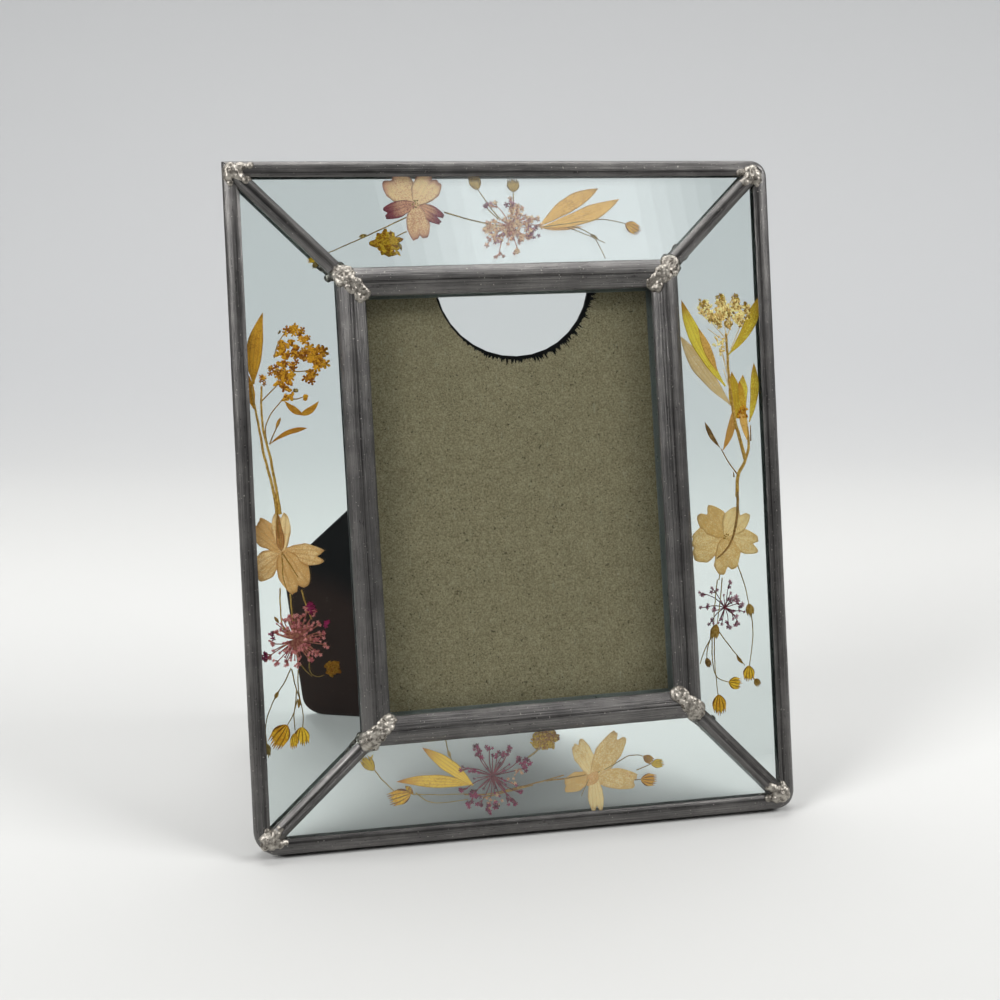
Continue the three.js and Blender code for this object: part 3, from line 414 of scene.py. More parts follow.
def grow(piece, tree, **sizes):
    """Runs a tree on a piece with the sizes named, and keeps the result as a plain mesh."""
    changer = piece.modifiers.new("grow", "NODES")
    changer.node_group = tree
    for item in tree.interface.items_tree:
        if item.in_out == "INPUT" and item.name in sizes:
            changer[item.identifier] = sizes[item.name]
    seen = piece.evaluated_get(bpy.context.evaluated_depsgraph_get())
    data = bpy.data.meshes.new_from_object(seen)
    piece.modifiers.remove(changer)
    piece.data = data


print("trees can be written and grown")

# %% [markdown]
# A plain mesh then needs a few small helpers: they read and move its points, store numbers on
# them, lay a UV map, merge doubles, smooth all but the sharp edges, and hand the piece to the
# frame.

# %% Mesh helpers


def at_points(piece):
    """Where the points of a piece are, one row each."""
    flat = np.empty(len(piece.data.vertices) * 3)
    piece.data.vertices.foreach_get("co", flat)
    return flat.reshape(-1, 3)


def move_points(piece, places):
    piece.data.vertices.foreach_set("co", np.asarray(places, float).ravel())
    piece.data.update()


def mark(piece, name, values):
    """Stores a number on every point, for a tree or a finish to read."""
    store = piece.data.attributes.new(name, "FLOAT", "POINT")
    store.data.foreach_set("value", np.asarray(values, np.float32))


def lay_uv(piece, name, at_point):
    """Gives every corner of a face the place on the UV map that its point has."""
    corners = np.empty(len(piece.data.loops), int)
    piece.data.loops.foreach_get("vertex_index", corners)
    places = np.asarray(at_point, float)[corners]
    piece.data.uv_layers.new(name=name).data.foreach_set("uv", places.ravel())


@contextmanager
def reworked(piece):
    """Lends a piece's mesh to bmesh and takes it back."""
    work = bmesh.new()
    work.from_mesh(piece.data)
    yield work
    work.to_mesh(piece.data)
    work.free()


def tidy(piece, smooth=40):
    """Merges doubles, turns the faces outwards and smooths all but the sharp edges."""
    with reworked(piece) as work:
        bmesh.ops.remove_doubles(work, verts=work.verts, dist=1e-7)
        bmesh.ops.recalc_face_normals(work, faces=work.faces)
        for face in work.faces:
            face.smooth = True
        for edge in work.edges:
            if len(edge.link_faces) == 2 and edge.calc_face_angle(0) > math.radians(smooth):
                edge.smooth = False
    return piece


def keep(piece, body, slot, *nodes):
    """Hands a finished piece to the frame: the body it rides on and the nodes it stands for."""
    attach(piece, body)
    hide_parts(*nodes)
    return piece


print("meshes can be marked, tidied and handed to the frame")

# %% [markdown]
# ## The milled strip
# Every came starts as one long drawn strip. A Geometry Nodes tree makes it the way the mill
# does: it sweeps the section along a straight line, raises the mill's fine lines, which hardly
# change along the strip, and adds the soft dents of handling. Its noise gives the same lines
# each run.

# %% The strip tree
g = Graph("milled_strip", Length="Float", Rings="Int", Lines="Float", Dents="Float", Finish="Material")
section = g.node("MeshToCurve", None, {0: g.given["Geometry"]})
end = g.node("ShaderNodeCombineXYZ", None, {"X": g.given["Length"]})
line = g.node("CurvePrimitiveLine", None, {"End": end})
line = g.node("ResampleCurve", None, {"Curve": line, "Count": g.given["Rings"]})
bar = g.node("CurveToMesh", None, {"Curve": line, "Profile Curve": section, "Fill Caps": True})
spot = g.node("InputPosition")
lines = g.noise(g.vector("MULTIPLY", spot, (0.02, 1.0, 1.0)), 3.4, 2.0)
lines = g.math("MULTIPLY", g.math("SUBTRACT", lines, 0.5), g.given["Lines"])
dents = g.noise(g.vector("MULTIPLY", spot, (0.16, 0.25, 0.25)), 1.0, 3.0)
dents = g.math("MULTIPLY", g.math("SUBTRACT", dents, 0.5), g.given["Dents"])
strip_tree = g.close(g.pushed(bar, g.math("ADD", lines, dents)))

# %% [markdown]
# The straight strip is bent to its place point by point, by a rule that each came brings along.
# Its UV map is laid while it is still straight, and so are two painted marks: lead inside the
# channel is brightened, for its fresh skin and as painted light where little reaches, and the
# crease on the face is darkened as painted shade.

# %% A drawn strip


def refine(outline, fine=0.22, coarse=1.2, front=-9.0):
    """An outline with points close together above a height, where the viewer sees it."""
    points = []
    for (w0, n0), (w1, n1) in zip(outline, outline[1:] + outline[:1]):
        step = fine if min(n0, n1) >= front else coarse
        count = max(1, round(math.hypot(w1 - w0, n1 - n0) / step))
        points += [(w0 + (w1 - w0) * i / count, n0 + (n1 - n0) * i / count) for i in range(count)]
    return points


def drawn_strip(name, outline, channel, groove, length, rings, bend, start=0.0, lines=0.09, dents=0.16):
    """A strip of a section, bent by a function of (along, inward, up), in bench millimetres.

    The channel is (low, high, from): lead in there is brightened, for its fresh skin and as painted
    light where little reaches. The groove is (inward, half width) of the crease, painted dark as shade.
    """
    count = len(outline)
    piece = mesh_object(name, [(-w, -n, 0) for w, n in outline],
                        [(i, (i + 1) % count) for i in range(count)])
    grow(piece, strip_tree, Length=length, Rings=rings, Lines=lines, Dents=dents, Finish=lead)
    flat = at_points(piece)
    around = np.cumsum([0] + [math.dist(a, b) for a, b in zip(outline, outline[1:])])
    w, n, around = np.tile([*np.transpose(outline), around], len(flat) // count)
    lay_uv(piece, "strip", np.stack([flat[:, 0] + start, around], 1))
    low, high, edge = channel
    # Painted light inside the channel, painted shade along the crease of the face.
    bright_skin_and_fill = (n > low) & (n < high) & (w > edge)
    crease_shade = (n > high + 0.4) * np.clip(1.3 - abs(w - groove[0]) / groove[1], 0, 1)
    mark(piece, "wear", bright_skin_and_fill * 1.0 - crease_shade)
    move_points(piece, bend(flat[:, 0], flat[:, 1], flat[:, 2]))
    return tidy(piece)


print("a strip can be drawn and bent")

# %% [markdown]
# ## The border came
# One strip of U section holds the outer edges of all four double panes. It is bent round three
# corners and its two ends meet at the fourth, top left, under the solder. Its face is a little
# crowned, and no two of the bends have the same radius, as hand bending gives.

# %% Border came
border_section = refine(
    [(0, -2.2), (0, 2.0), (0.15, 2.45), (0.5, 2.88), (1.0, 3.18), (1.6, 3.36), (2.2, 3.42), (2.8, 3.38),
     (3.4, 3.24), (4.0, 3.02), (4.4, 2.8), (4.7, 2.62), (4.8, 2.52), (4.7, 2.5), (1.2, 2.5), (1.2, -2.6),
     (4.7, -2.6), (4.8, -2.65), (4.6, -2.9), (4.0, -3.14), (3.2, -3.34), (2.2, -3.42), (1.2, -3.3),
     (0.5, -2.95)], 0.25)
BENDS = [(1, 1, 5.2, 90), (1, 0, 5.6, 0), (-1, 0, 7.4, -90)]  # side, top or not, radius, first angle
SEAM = 0.15
MITRE = ((-WIDTH / 2, HEIGHT), (0.7071, -0.7071), 1.4142)  # place, inward way, stretch


def border_track():
    """The outline of the frame, clockwise from the top left corner, in the form of MITRE."""
    track = [MITRE]
    for side, top, r, first in BENDS:
        middle = (side * (WIDTH / 2 - r), HEIGHT - r if top else r)
        for i in range(13):
            a = math.radians(first - 7.5 * i)
            track.append(((middle[0] + r * math.cos(a), middle[1] + r * math.sin(a)),
                          (-math.cos(a), -math.sin(a)), 1.0))
    return track + [MITRE]


track = border_track()
steps = np.cumsum([0] + [math.dist(a[0], b[0]) for a, b in zip(track, track[1:])])


def bend_border(s, w, n):
    """Carries a strip round the outline; its ends are mitred and keep a small seam."""
    s = s / s.max() * steps[-1]
    inward = [np.interp(s, steps, [t[1][k] * t[2] for t in track]) for k in (0, 1)]
    edge = [np.interp(s, steps, [t[0][k] for t in track]) for k in (0, 1)]
    u, v = (edge[k] + inward[k] / np.hypot(*inward) * w for k in (0, 1))
    first, last = s < steps[1], s > steps[-2]
    u = np.where(first, -WIDTH / 2 + w + SEAM + (s / steps[1]) * (WIDTH - BENDS[0][2] - w), u)
    v = np.where(first, HEIGHT - w, v)
    tail = (steps[-1] - s) / (steps[-1] - steps[-2])
    u = np.where(last, -WIDTH / 2 + w, u)
    v = np.where(last, HEIGHT - w - SEAM - tail * (HEIGHT - BENDS[-1][2] - w - SEAM), v)
    return stand(np.stack([u, v, n + rise("all", u, v)], 1))


border = drawn_strip("border_lead", border_section, (-2.62, 2.52, 1.1), (3.6, 0.3), float(steps[-1]), 560,
                     bend_border)
keep(border, "frame", "lead", "border_came")
print("border came", len(border.data.polygons), "faces,", round(steps[-1]), "mm of strip")

# %% [markdown]
# ## The corner cames
# From each corner of the border a narrower H strip climbs the ridge between two panes to the
# window. Its face is round, with the fine groove down the middle that the mill leaves.

# %% Corner cames
hip_section = refine(
    [(-2.2, 2.5), (-2.2, 2.62), (-2.0, 2.95), (-1.6, 3.38), (-1.2, 3.7), (-0.85, 3.86), (-0.45, 3.68),
     (0, 3.42), (0.45, 3.68), (0.85, 3.86), (1.2, 3.7), (1.6, 3.38), (2.0, 2.95), (2.2, 2.62), (2.2, 2.5),
     (0.6, 2.5), (0.6, -2.75), (2.3, -2.75), (2.3, -3.05), (1.5, -3.4), (0.3, -3.55), (0, -3.42),
     (-0.3, -3.55), (-1.5, -3.4), (-2.3, -3.05), (-2.3, -2.75), (-0.6, -2.75), (-0.6, 2.75)], 0.25)
CORNERS = {"top_left": (-1, 1), "top_right": (1, 1), "bottom_right": (1, -1), "bottom_left": (-1, -1)}


def corner_ends(sx, sy):
    """The border's corner and the window's corner, flat."""
    outer = np.array([sx * WIDTH / 2, HEIGHT if sy > 0 else 0.0])
    return outer, in_window([[sx * WIN_W / 2, sy * WIN_H / 2, 0]])[0, :2]


def corner_strip(name, sx, sy):
    outer, inner = corner_ends(sx, sy)
    reach = float(np.hypot(*(inner - outer)))
    way = (inner - outer) / reach
    first, last = 4.0, reach - 0.2

    def bend(s, w, n):
        t = first + s
        u = outer[0] + way[0] * t - way[1] * w
        v = outer[1] + way[1] * t + way[0] * w
        return stand(np.stack([u, v, n], 1), "all")

    piece = drawn_strip("corner_lead_" + name, hip_section, (-2.8, 2.7, -9), (0, 0.8), last - first, 60,
                        bend, start=40 * (sx + 2 * sy))
    return keep(piece, "frame", "lead", "corner_came_" + name)


for name, (sx, sy) in CORNERS.items():
    corner_strip(name, sx, sy)
print("four corner cames", round(float(np.hypot(*np.subtract(*corner_ends(-1, 1)))), 1), "mm long")

# %% [markdown]
# ## The window came
# The window stands proud of the panes in a wide came with a roof-like face: an outer slope, a
# crease and a broad inner slope that leads the eye to the picture. Four bars are mitred, and
# each is drawn strip again, so the mill's lines run the whole length of every side.

# %% Window came
window_section = refine(
    [(0, 7.95), (0, 8.5), (0.3, 9.05), (0.9, 9.7), (1.6, 10.25), (2.3, 10.7), (3.0, 11.02), (3.5, 11.17),
     (3.9, 11.2), (4.25, 11.05), (4.4, 11.02), (4.9, 11.0), (5.2, 10.82), (5.7, 10.72), (5.95, 10.52),
     (6.4, 10.38), (6.7, 10.14), (7.2, 9.9), (7.5, 9.6), (7.9, 9.3), (8.25, 8.8), (8.3, 8.6), (8.3, 8.4),
     (4.6, 8.4), (4.6, 3.3), (8.4, 3.3), (8.4, 2.5), (4.2, 2.5), (0, 1.75), (0, 2.45), (3.7, 3.07),
     (3.7, 8.57)], 0.16, 1.0, 7.9)
SIDES = {"top": (2, WIN_W, WIN_H), "bottom": (0, WIN_W, WIN_H),
         "left": (3, WIN_H, WIN_W), "right": (1, WIN_H, WIN_W)}


def window_strip(side):
    quarter, long, other = SIDES[side]

    def bend(s, w, n):
        t = s / s.max() * 2 - 1
        x, y = t * (long / 2 - w - 0.1), w - other / 2
        for _ in range(quarter):
            x, y = -y, x
        return stand(in_window(np.stack([x, y, n], 1)))

    piece = drawn_strip("window_lead_" + side, window_section, (2.4, 8.45, 3.6), (4.35, 0.25), long,
                        round(long * 1.1), bend, start=170 * quarter, lines=0.15, dents=0.14)
    return keep(piece, "frame", "lead", "window_came_" + side)


bars = [window_strip(side) for side in SIDES]
print("window came", sum(len(bar.data.polygons) for bar in bars), "faces")

# %% [markdown]
# ## Solder joints
# Where cames meet, the maker melts solder over them, and it spreads a little way along each
# one. Beads of different sizes laid along those ways and fused through a volume give just that:
# one closed lump with soft saddles between the beads. Noise then roughens its skin.

# %% Solder tree
g = Graph("fused_beads", Cell="Float", Skin="Float", Finish="Material")
points = g.node("MeshToPoints", None, {"Mesh": g.given["Geometry"]})
cloud = g.node("PointsToVolume", {"resolution_mode": "VOXEL_SIZE"},
               {"Points": points, "Voxel Size": g.given["Cell"], "Radius": g.stored("bead")})
lump = g.node("VolumeToMesh", {"resolution_mode": "VOXEL_SIZE"},
              {"Volume": cloud, "Voxel Size": g.given["Cell"], "Threshold": 0.1})
spot = g.node("InputPosition")
coarse = g.noise(spot, 0.75, 3.0)
pocks = g.node("ShaderNodeTexVoronoi", None, {"Vector": spot, "Scale": 0.95})
pocks = g.math("MULTIPLY", g.math("SUBTRACT", pocks, 0.4), 0.45)
skin = g.math("ADD", g.math("SUBTRACT", coarse, 0.5), pocks)
bead_tree = g.close(g.pushed(lump, g.math("MULTIPLY", skin, g.given["Skin"])))


def solder_lump(name, beads, to_world, node, skin):
    """Beads given as (u, v, n, radius), fused into one closed lump."""
    piece = mesh_object(name, [bead[:3] for bead in beads])
    mark(piece, "bead", [bead[3] for bead in beads])
    grow(piece, bead_tree, Cell=0.22, Skin=skin, Finish=solder)
    move_points(piece, to_world(at_points(piece)))
    keep(tidy(piece, 75), "frame", "solder", node)


# %% [markdown]
# The lumps at the border's corners, front and back, reach a few millimetres along each strip and
# sit a little inside the bend, so that the round of the came still shows. Those at the window
# run down the mitre and follow the height of its face.

# %% Solder lumps


def bead_line(start, way, reach, n, big, small, dice, wander):
    """Beads from a start along a way, shrinking as the solder ran out."""
    count = max(2, round(reach))
    return [(start[0] + way[0] * reach * i / count + dice.uniform(-wander, wander),
             start[1] + way[1] * reach * i / count + dice.uniform(-wander, wander),
             n + dice.uniform(-0.25, 0.2), big + (small - big) * i / count + dice.uniform(-0.2, 0.25))
            for i in range(count + 1)]


crest_at = np.linspace(0.1, 8.2, 28)
crest = [max(n for x, n in window_section if abs(x - w) < 0.25) for w in crest_at]


def over_window(t, aside):
    """Height of the window came's face, t along the mitre from its corner and so far aside."""
    w = (t - abs(aside)) / math.sqrt(2)
    return float(np.interp(w, [-3.0, -0.5, *crest_at], [3.3, 4.2, *crest]))


for index, (name, (sx, sy)) in enumerate(CORNERS.items()):
    dice = random.Random(11 + index)
    outer, inner = corner_ends(sx, sy)
    diagonal = (inner - outer) / np.hypot(*(inner - outer))
    inset = 3.2 if name == "top_left" else 4.7
    spot = outer + np.array([-sx * inset, -sy * inset])
    for label, face, level in (("solder_outer_", 1, 2.6), ("solder_back_", -1, -2.4)):
        beads = bead_line(spot, diagonal, 4.4, level, 2.0, 1.4, dice, 0.6)
        beads += bead_line(spot + (0, sy * 1.2), (-sx, 0), 4.4, level, 1.6, 1.1, dice, 0.4)
        beads += bead_line(spot + (sx * 1.2, 0), (0, -sy), 3.2, level, 1.6, 1.1, dice, 0.4)
        beads += [(spot[0] + dice.uniform(-1.7, 1.7), spot[1] + dice.uniform(-1.7, 1.7),
                   level + 0.4 * face, 1.5) for _ in range(14)]
        solder_lump(label + name + "_lump", beads, lambda flat: stand(flat, "all"), label + name, 0.32)
    beads = []
    for i in range(40):
        t = -4.2 + 0.4 * i
        wide = (1.15 if t < 0 else 1.9 if t < 5 else 1.3) + 0.35 * math.sin(i * 0.7 + index)
        for aside in (-wide, -wide * 0.35, wide * 0.35, wide):
            p, q = aside + dice.uniform(-0.3, 0.3), t + dice.uniform(-0.3, 0.3)
            radius = dice.uniform(0.95, 1.25)
            u, v = inner + diagonal * q + np.array([-diagonal[1], diagonal[0]]) * p
            beads.append((u, v, over_window(q, p) - 0.5 + dice.uniform(-0.15, 0.15), radius))
    solder_lump("solder_inner_" + name + "_lump", beads, stand, "solder_inner_" + name, 0.2)
print("twelve solder lumps")

# %% [markdown]
# ## What keeps its packed shape
# The panes, the window glass, the board, its paper, its rail and the two hinge leaves are right
# as they are, so they only get their finish. The leg gets softened edges, because its skin is
# wrapped round the board.

# %% Finishes for the packed nodes
PLAIN = {"backing_board": board, "back_paper": paper, "back_rail": lead, "window_glass": glass,
         "hinge_fixed_leaf": tin, "hinge_moving_leaf": tin}
for name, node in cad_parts.items():
    finish = glass if name.startswith("pane_") else PLAIN.get(name)
    if finish:
        for slot in node.material_slots:
            slot.material = finish

leg = mesh_object("leg_panel", [])
leg.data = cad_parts["easel_leg"].data.copy()
leg.data.materials.clear()
leg.data.materials.append(black)
with reworked(leg) as work:
    bmesh.ops.remove_doubles(work, verts=work.verts, dist=1e-6)
    bmesh.ops.dissolve_limit(work, angle_limit=0.01, verts=work.verts, edges=work.edges)
    sharp = [edge for edge in work.edges if edge.calc_face_angle(0) > 0.6]
    bmesh.ops.bevel(work, geom=sharp, offset=0.0004, segments=3, affect="EDGES", profile=0.5)
keep(tidy(leg), "leg", "black_gloss", "easel_leg")
print("leg", len(leg.data.polygons), "faces")

# %% [markdown]
# ## Dried plant colours
# Pressed petals are paper-thin: the grain of their cells shows, the rim dries darker and the
# pale wall glows through, so their alpha stays a little under one. A painted glow, emission in
# each part's own colour, stands in for the light that shines through them. Every sheet carries a
# UV map with the way from base to tip and from edge to edge, and a tone that differs from lobe to
# lobe.

# %% Plant finishes


def dried(name, pale, deep, edge, cover, vein, painted_glow, grain=2400, blush=None, from_tip=0.5):
    """Colours of one plant part: cell grain, patches, veins, a dry rim, a blush at the tip."""
    pale, deep, edge = rgb(*pale), rgb(*deep), rgb(*edge)
    material, shader, place = new_finish(name, Specular_IOR_Level=0.2, Emission_Strength=painted_glow)
    sheet = place.node("UVMap", {"uv_map": "sheet"})
    base, edgeways, _ = sheet.parts()
    tone = place.node("Attribute", {"attribute_name": "tone"}, out=2)
    cells = place.noise(grain, 2.0, 0.6)
    patch = place.noise(330, 3.0, 0.55)
    ribs = (edgeways * (14.0 - base * 3.0) + place.noise(140) * 2.5).sum("SINE").ramp(0.2, 1.0)
    mix = (cells - 0.5) * 2.6 + (patch - 0.5) * 1.1 + (tone - 0.5) * 0.9 + 0.5
    colour = mix.ramp(0.05, 0.95).blend(deep, pale)
    if blush:
        reach = (base + (patch - 0.5) * 0.5).ramp(from_tip, from_tip + 0.4)
        colour = reach.blend(colour, rgb(*blush))
    if vein:
        colour = (ribs * vein * (1.0 - base * 0.5)).blend(colour, edge)
    rim = base.sum("MAXIMUM", abs(edgeways)).ramp(0.86, 1.02)
    colour = (rim * 0.75).blend(colour, edge)
    # The emission in the part's own colour is a painted glow, standing in for light that shines through
    # the thin part.
    wire_up(shader, Base_Color=colour, Emission_Color=colour, Roughness=cells * 0.2 + 0.6,
            Alpha=(cells - 0.5) * -0.35 + rim * 0.12 + cover,
            Normal=(cells + ribs * 0.3 * (vein + 0.1)).bump(0.4, 0.00012))
    return material


# Each row: material, pale, deep and rim colour, cover, veins, painted glow (emission that stands in
# for light shining through), and where they differ the grain, the blush and how far up it starts.
PAINTS = {
    "cream": ("cream_petal", (254, 230, 168), (226, 184, 108), (214, 172, 108), 0.88, 0.3, 0.17),
    "tan": ("tan_petal", (250, 220, 162), (218, 170, 104), (186, 132, 70), 0.92, 0.5, 0.24),
    "rose": ("rose_petal", (254, 224, 172), (214, 158, 122), (160, 104, 92), 0.92, 0.1, 0.17, 2400,
             (214, 156, 132), 0.7),
    "wine": ("wine_petal", (236, 180, 142), (176, 104, 92), (96, 26, 42), 0.93, 0.3, 0.1, 2400,
             (138, 52, 66), 0.45),
    "gold": ("gold_leaf", (252, 214, 76), (208, 156, 34), (168, 106, 30), 0.9, 0.4, 0.2, 2400,
             (206, 138, 56), 0.62),
    "lemon": ("lemon_leaf", (250, 230, 84), (212, 172, 40), (172, 116, 40), 0.92, 0.35, 0.2, 2400,
              (196, 132, 50), 0.7),
    "ochre": ("ochre_leaf", (246, 198, 104), (204, 148, 66), (164, 112, 52), 0.9, 0.15, 0.2),
    "smudge": ("brown_smudge", (214, 154, 78), (160, 102, 44), (210, 162, 96), 0.62, 0.5, 0.12),
    "amber": ("amber_leaf", (240, 180, 52), (194, 126, 26), (150, 96, 30), 0.93, 0.35, 0.15),
    "pale": ("pale_leaf", (252, 236, 196), (224, 196, 140), (186, 142, 80), 0.84, 0.4, 0.22),
    "yellow": ("yellow_cup", (255, 216, 66), (214, 150, 28), (110, 62, 12), 0.97, 1.15, 0.2),
    "button": ("yellow_button", (244, 204, 50), (172, 116, 18), (120, 74, 14), 0.99, 0.5, 0.12, 1500),
    "orange": ("orange_floret", (246, 180, 44), (162, 92, 18), (214, 146, 46), 0.97, 0.0, 0.12, 1500),
    "fluff": ("cream_floret", (255, 240, 172), (214, 174, 100), (150, 110, 60), 0.98, 0.0, 0.3, 1500),
    "blush": ("blush_floret", (246, 208, 160), (186, 118, 98), (140, 74, 84), 0.96, 0.0, 0.1, 1700),
    "pink": ("pink_floret", (240, 156, 150), (178, 80, 86), (126, 44, 70), 0.95, 0.0, 0.1, 1700),
    "mauve": ("mauve_floret", (196, 136, 150), (118, 48, 74), (70, 16, 40), 0.92, 0.0, 0.05, 1700),
    "magenta": ("magenta_floret", (170, 40, 96), (92, 10, 42), (60, 6, 26), 1.0, 0.0, 0.08, 1700),
    "stem": ("olive_stem", (190, 164, 96), (134, 108, 52), (104, 82, 40), 1.0, 0.0, 0.04, 1500),
    "straw": ("straw_stem", (216, 178, 92), (166, 122, 46), (112, 78, 30), 1.0, 0.0, 0.04, 1500),
    "reed": ("golden_stem", (232, 190, 98), (184, 138, 60), (130, 92, 40), 1.0, 0.0, 0.15, 1500),
    "twig": ("brown_stem", (186, 144, 82), (124, 86, 40), (84, 56, 26), 1.0, 0.0, 0.04, 1500),
    "ray": ("rosy_ray", (206, 140, 110), (150, 80, 72), (110, 44, 50), 1.0, 0.0, 0.04, 1500),
    "wine_ray": ("wine_ray", (136, 50, 62), (76, 12, 30), (60, 10, 26), 1.0, 0.0, 0.04, 1500),
}
LOOKS = {look: dried(*paint) for look, paint in PAINTS.items()}
print(len(LOOKS), "plant finishes")

# %% [markdown]
# ## Stalks and rays
# Stalks follow the way the plant lay when it was pressed. The tree smooths each run of points,
# lets it wander a little, sweeps a small round section along it with the girth that its points
# carry, and flattens the lot between the two panes.

# %% Stalk tree
g = Graph("pressed_stalks", Girth="Float", Wander="Float", Flat="Float", Finish="Material")
runs = g.node("MeshToCurve", None, {0: g.given["Geometry"]})
runs = g.node("CurveSplineType", {"spline_type": "CATMULL_ROM"}, {"Curve": runs})
runs = g.node("ResampleCurve", {"mode": "LENGTH"}, {"Curve": runs, "Length": 0.7})
sway = g.noise(g.node("InputPosition"), 0.35, 1.0, out=1)
sway = g.vector("SCALE", g.vector("SUBTRACT", sway, (0.5, 0.5, 0.5)), scale=g.given["Wander"])
sway = g.vector("MULTIPLY", sway, (1.0, 1.0, 0.0))
runs = g.node("SetPosition", None, {"Geometry": runs, "Offset": sway})
ring = g.node("CurvePrimitiveCircle", None, {"Resolution": 6, "Radius": g.given["Girth"]})
tubes = g.node("CurveToMesh", None, {"Curve": runs, "Profile Curve": ring, "Scale": g.stored("girth"),
                                     "Fill Caps": True})
stalk_tree = g.close(g.pressed(tubes))

# %% [markdown]
# ## Florets
# An umbel or a flower head is one small shape many times over, so that shape is modelled once
# with a few dozen faces and set on points: turned, tilted and sized by seeded dice, given a tone
# of its own, and pressed flat.

# %% Floret tree
g = Graph("set_florets", Shape="Object", Tilt="Float", Flat="Float", Seed="Int", Finish="Material")
points = g.node("MeshToPoints", None, {"Mesh": g.given["Geometry"]})
shape = g.node("ObjectInfo", None, {"Object": g.given["Shape"], "As Instance": True}, out=4)


def dice_node(low, high, shift, vector=False):
    """Random numbers that differ from floret to floret but not from run to run."""
    seed = g.math("ADD", g.given["Seed"], shift)
    kind, first = ("FLOAT_VECTOR", 0) if vector else ("FLOAT", 2)
    return g.node("FunctionNodeRandomValue", {"data_type": kind},
                  {first: low, first + 1: high, "Seed": seed}, out=0 if vector else 1)


tilt = g.node("ShaderNodeCombineXYZ", None, {"X": g.given["Tilt"], "Y": g.given["Tilt"], "Z": 3.1416})
turn = g.vector("MULTIPLY", dice_node((-1, -1, -1), (1, 1, 1), 0, True), tilt)
spread = g.math("MULTIPLY", g.stored("spread"), dice_node(0.75, 1.25, 1))
heads = g.node("InstanceOnPoints", None,
               {"Points": points, "Instance": shape, "Rotation": turn, "Scale": spread})
heads = g.node("StoreNamedAttribute", {"data_type": "FLOAT", "domain": "INSTANCE"},
               {"Geometry": heads, "Name": "tone", "Value": dice_node(0.0, 1.0, 2)})
floret_tree = g.close(g.pressed(g.node("RealizeInstances", None, {0: heads})))

# %% [markdown]
# Three shapes are enough: an open star of five lobes, a round grain and a longer one. Each is
# set hundreds of times, so it has only a few dozen faces.

# %% Floret shapes


def star_shape(name, lobes=5, valley=0.3, lift=0.22):
    """A tiny flower of rounded lobes, closed, with its middle a little sunk."""
    count = lobes * 4
    ring = []
    for i in range(count):
        a = 2 * math.pi * i / count
        r = (valley, 0.86, 1.0, 0.86)[i % 4]
        ring.append((r * math.cos(a), r * math.sin(a), lift * r))
    verts = ring + [(x, y, z - 0.14) for x, y, z in ring] + [(0, 0, 0.02), (0, 0, -0.16)]
    faces = []
    for i in range(count):
        j = (i + 1) % count
        faces += [(i, j, 2 * count), (count + j, count + i, 2 * count + 1), (i, count + i, count + j, j)]
    return mesh_object(name, verts, faces=faces)


def lobe_shape(name, length):
    """A small plump grain, longer than wide, with flattened sides."""
    piece = mesh_object(name, [])
    with reworked(piece) as work:
        bmesh.ops.create_icosphere(work, subdivisions=1, radius=1)
        for vert in work.verts:
            wobble = 1 + 0.22 * noise.noise(vert.co * 2.3)
            vert.co = Vector((vert.co.x * length, vert.co.y * 0.62, vert.co.z * 0.5)) * wobble
    return piece


SHAPES = {"star": star_shape("star_shape"), "grain": lobe_shape("grain_shape", 0.75),
          "lobe": lobe_shape("lobe_shape", 1.3)}
print("floret shapes", {name: len(shape.data.polygons) for name, shape in SHAPES.items()})

# %% [markdown]
# ## Building a pressing
# One object collects all that belongs to one specimen: sheets for petals and leaves, stalks and
# florets. A sheet is a small grid with two sides and a closed rim, bent by the function that
# gives its outline. Each specimen is one piece, as it was laid between the panes in one go.

# %% The pile
POCKET = 0.4  # half of the room between two panes that the plants fill


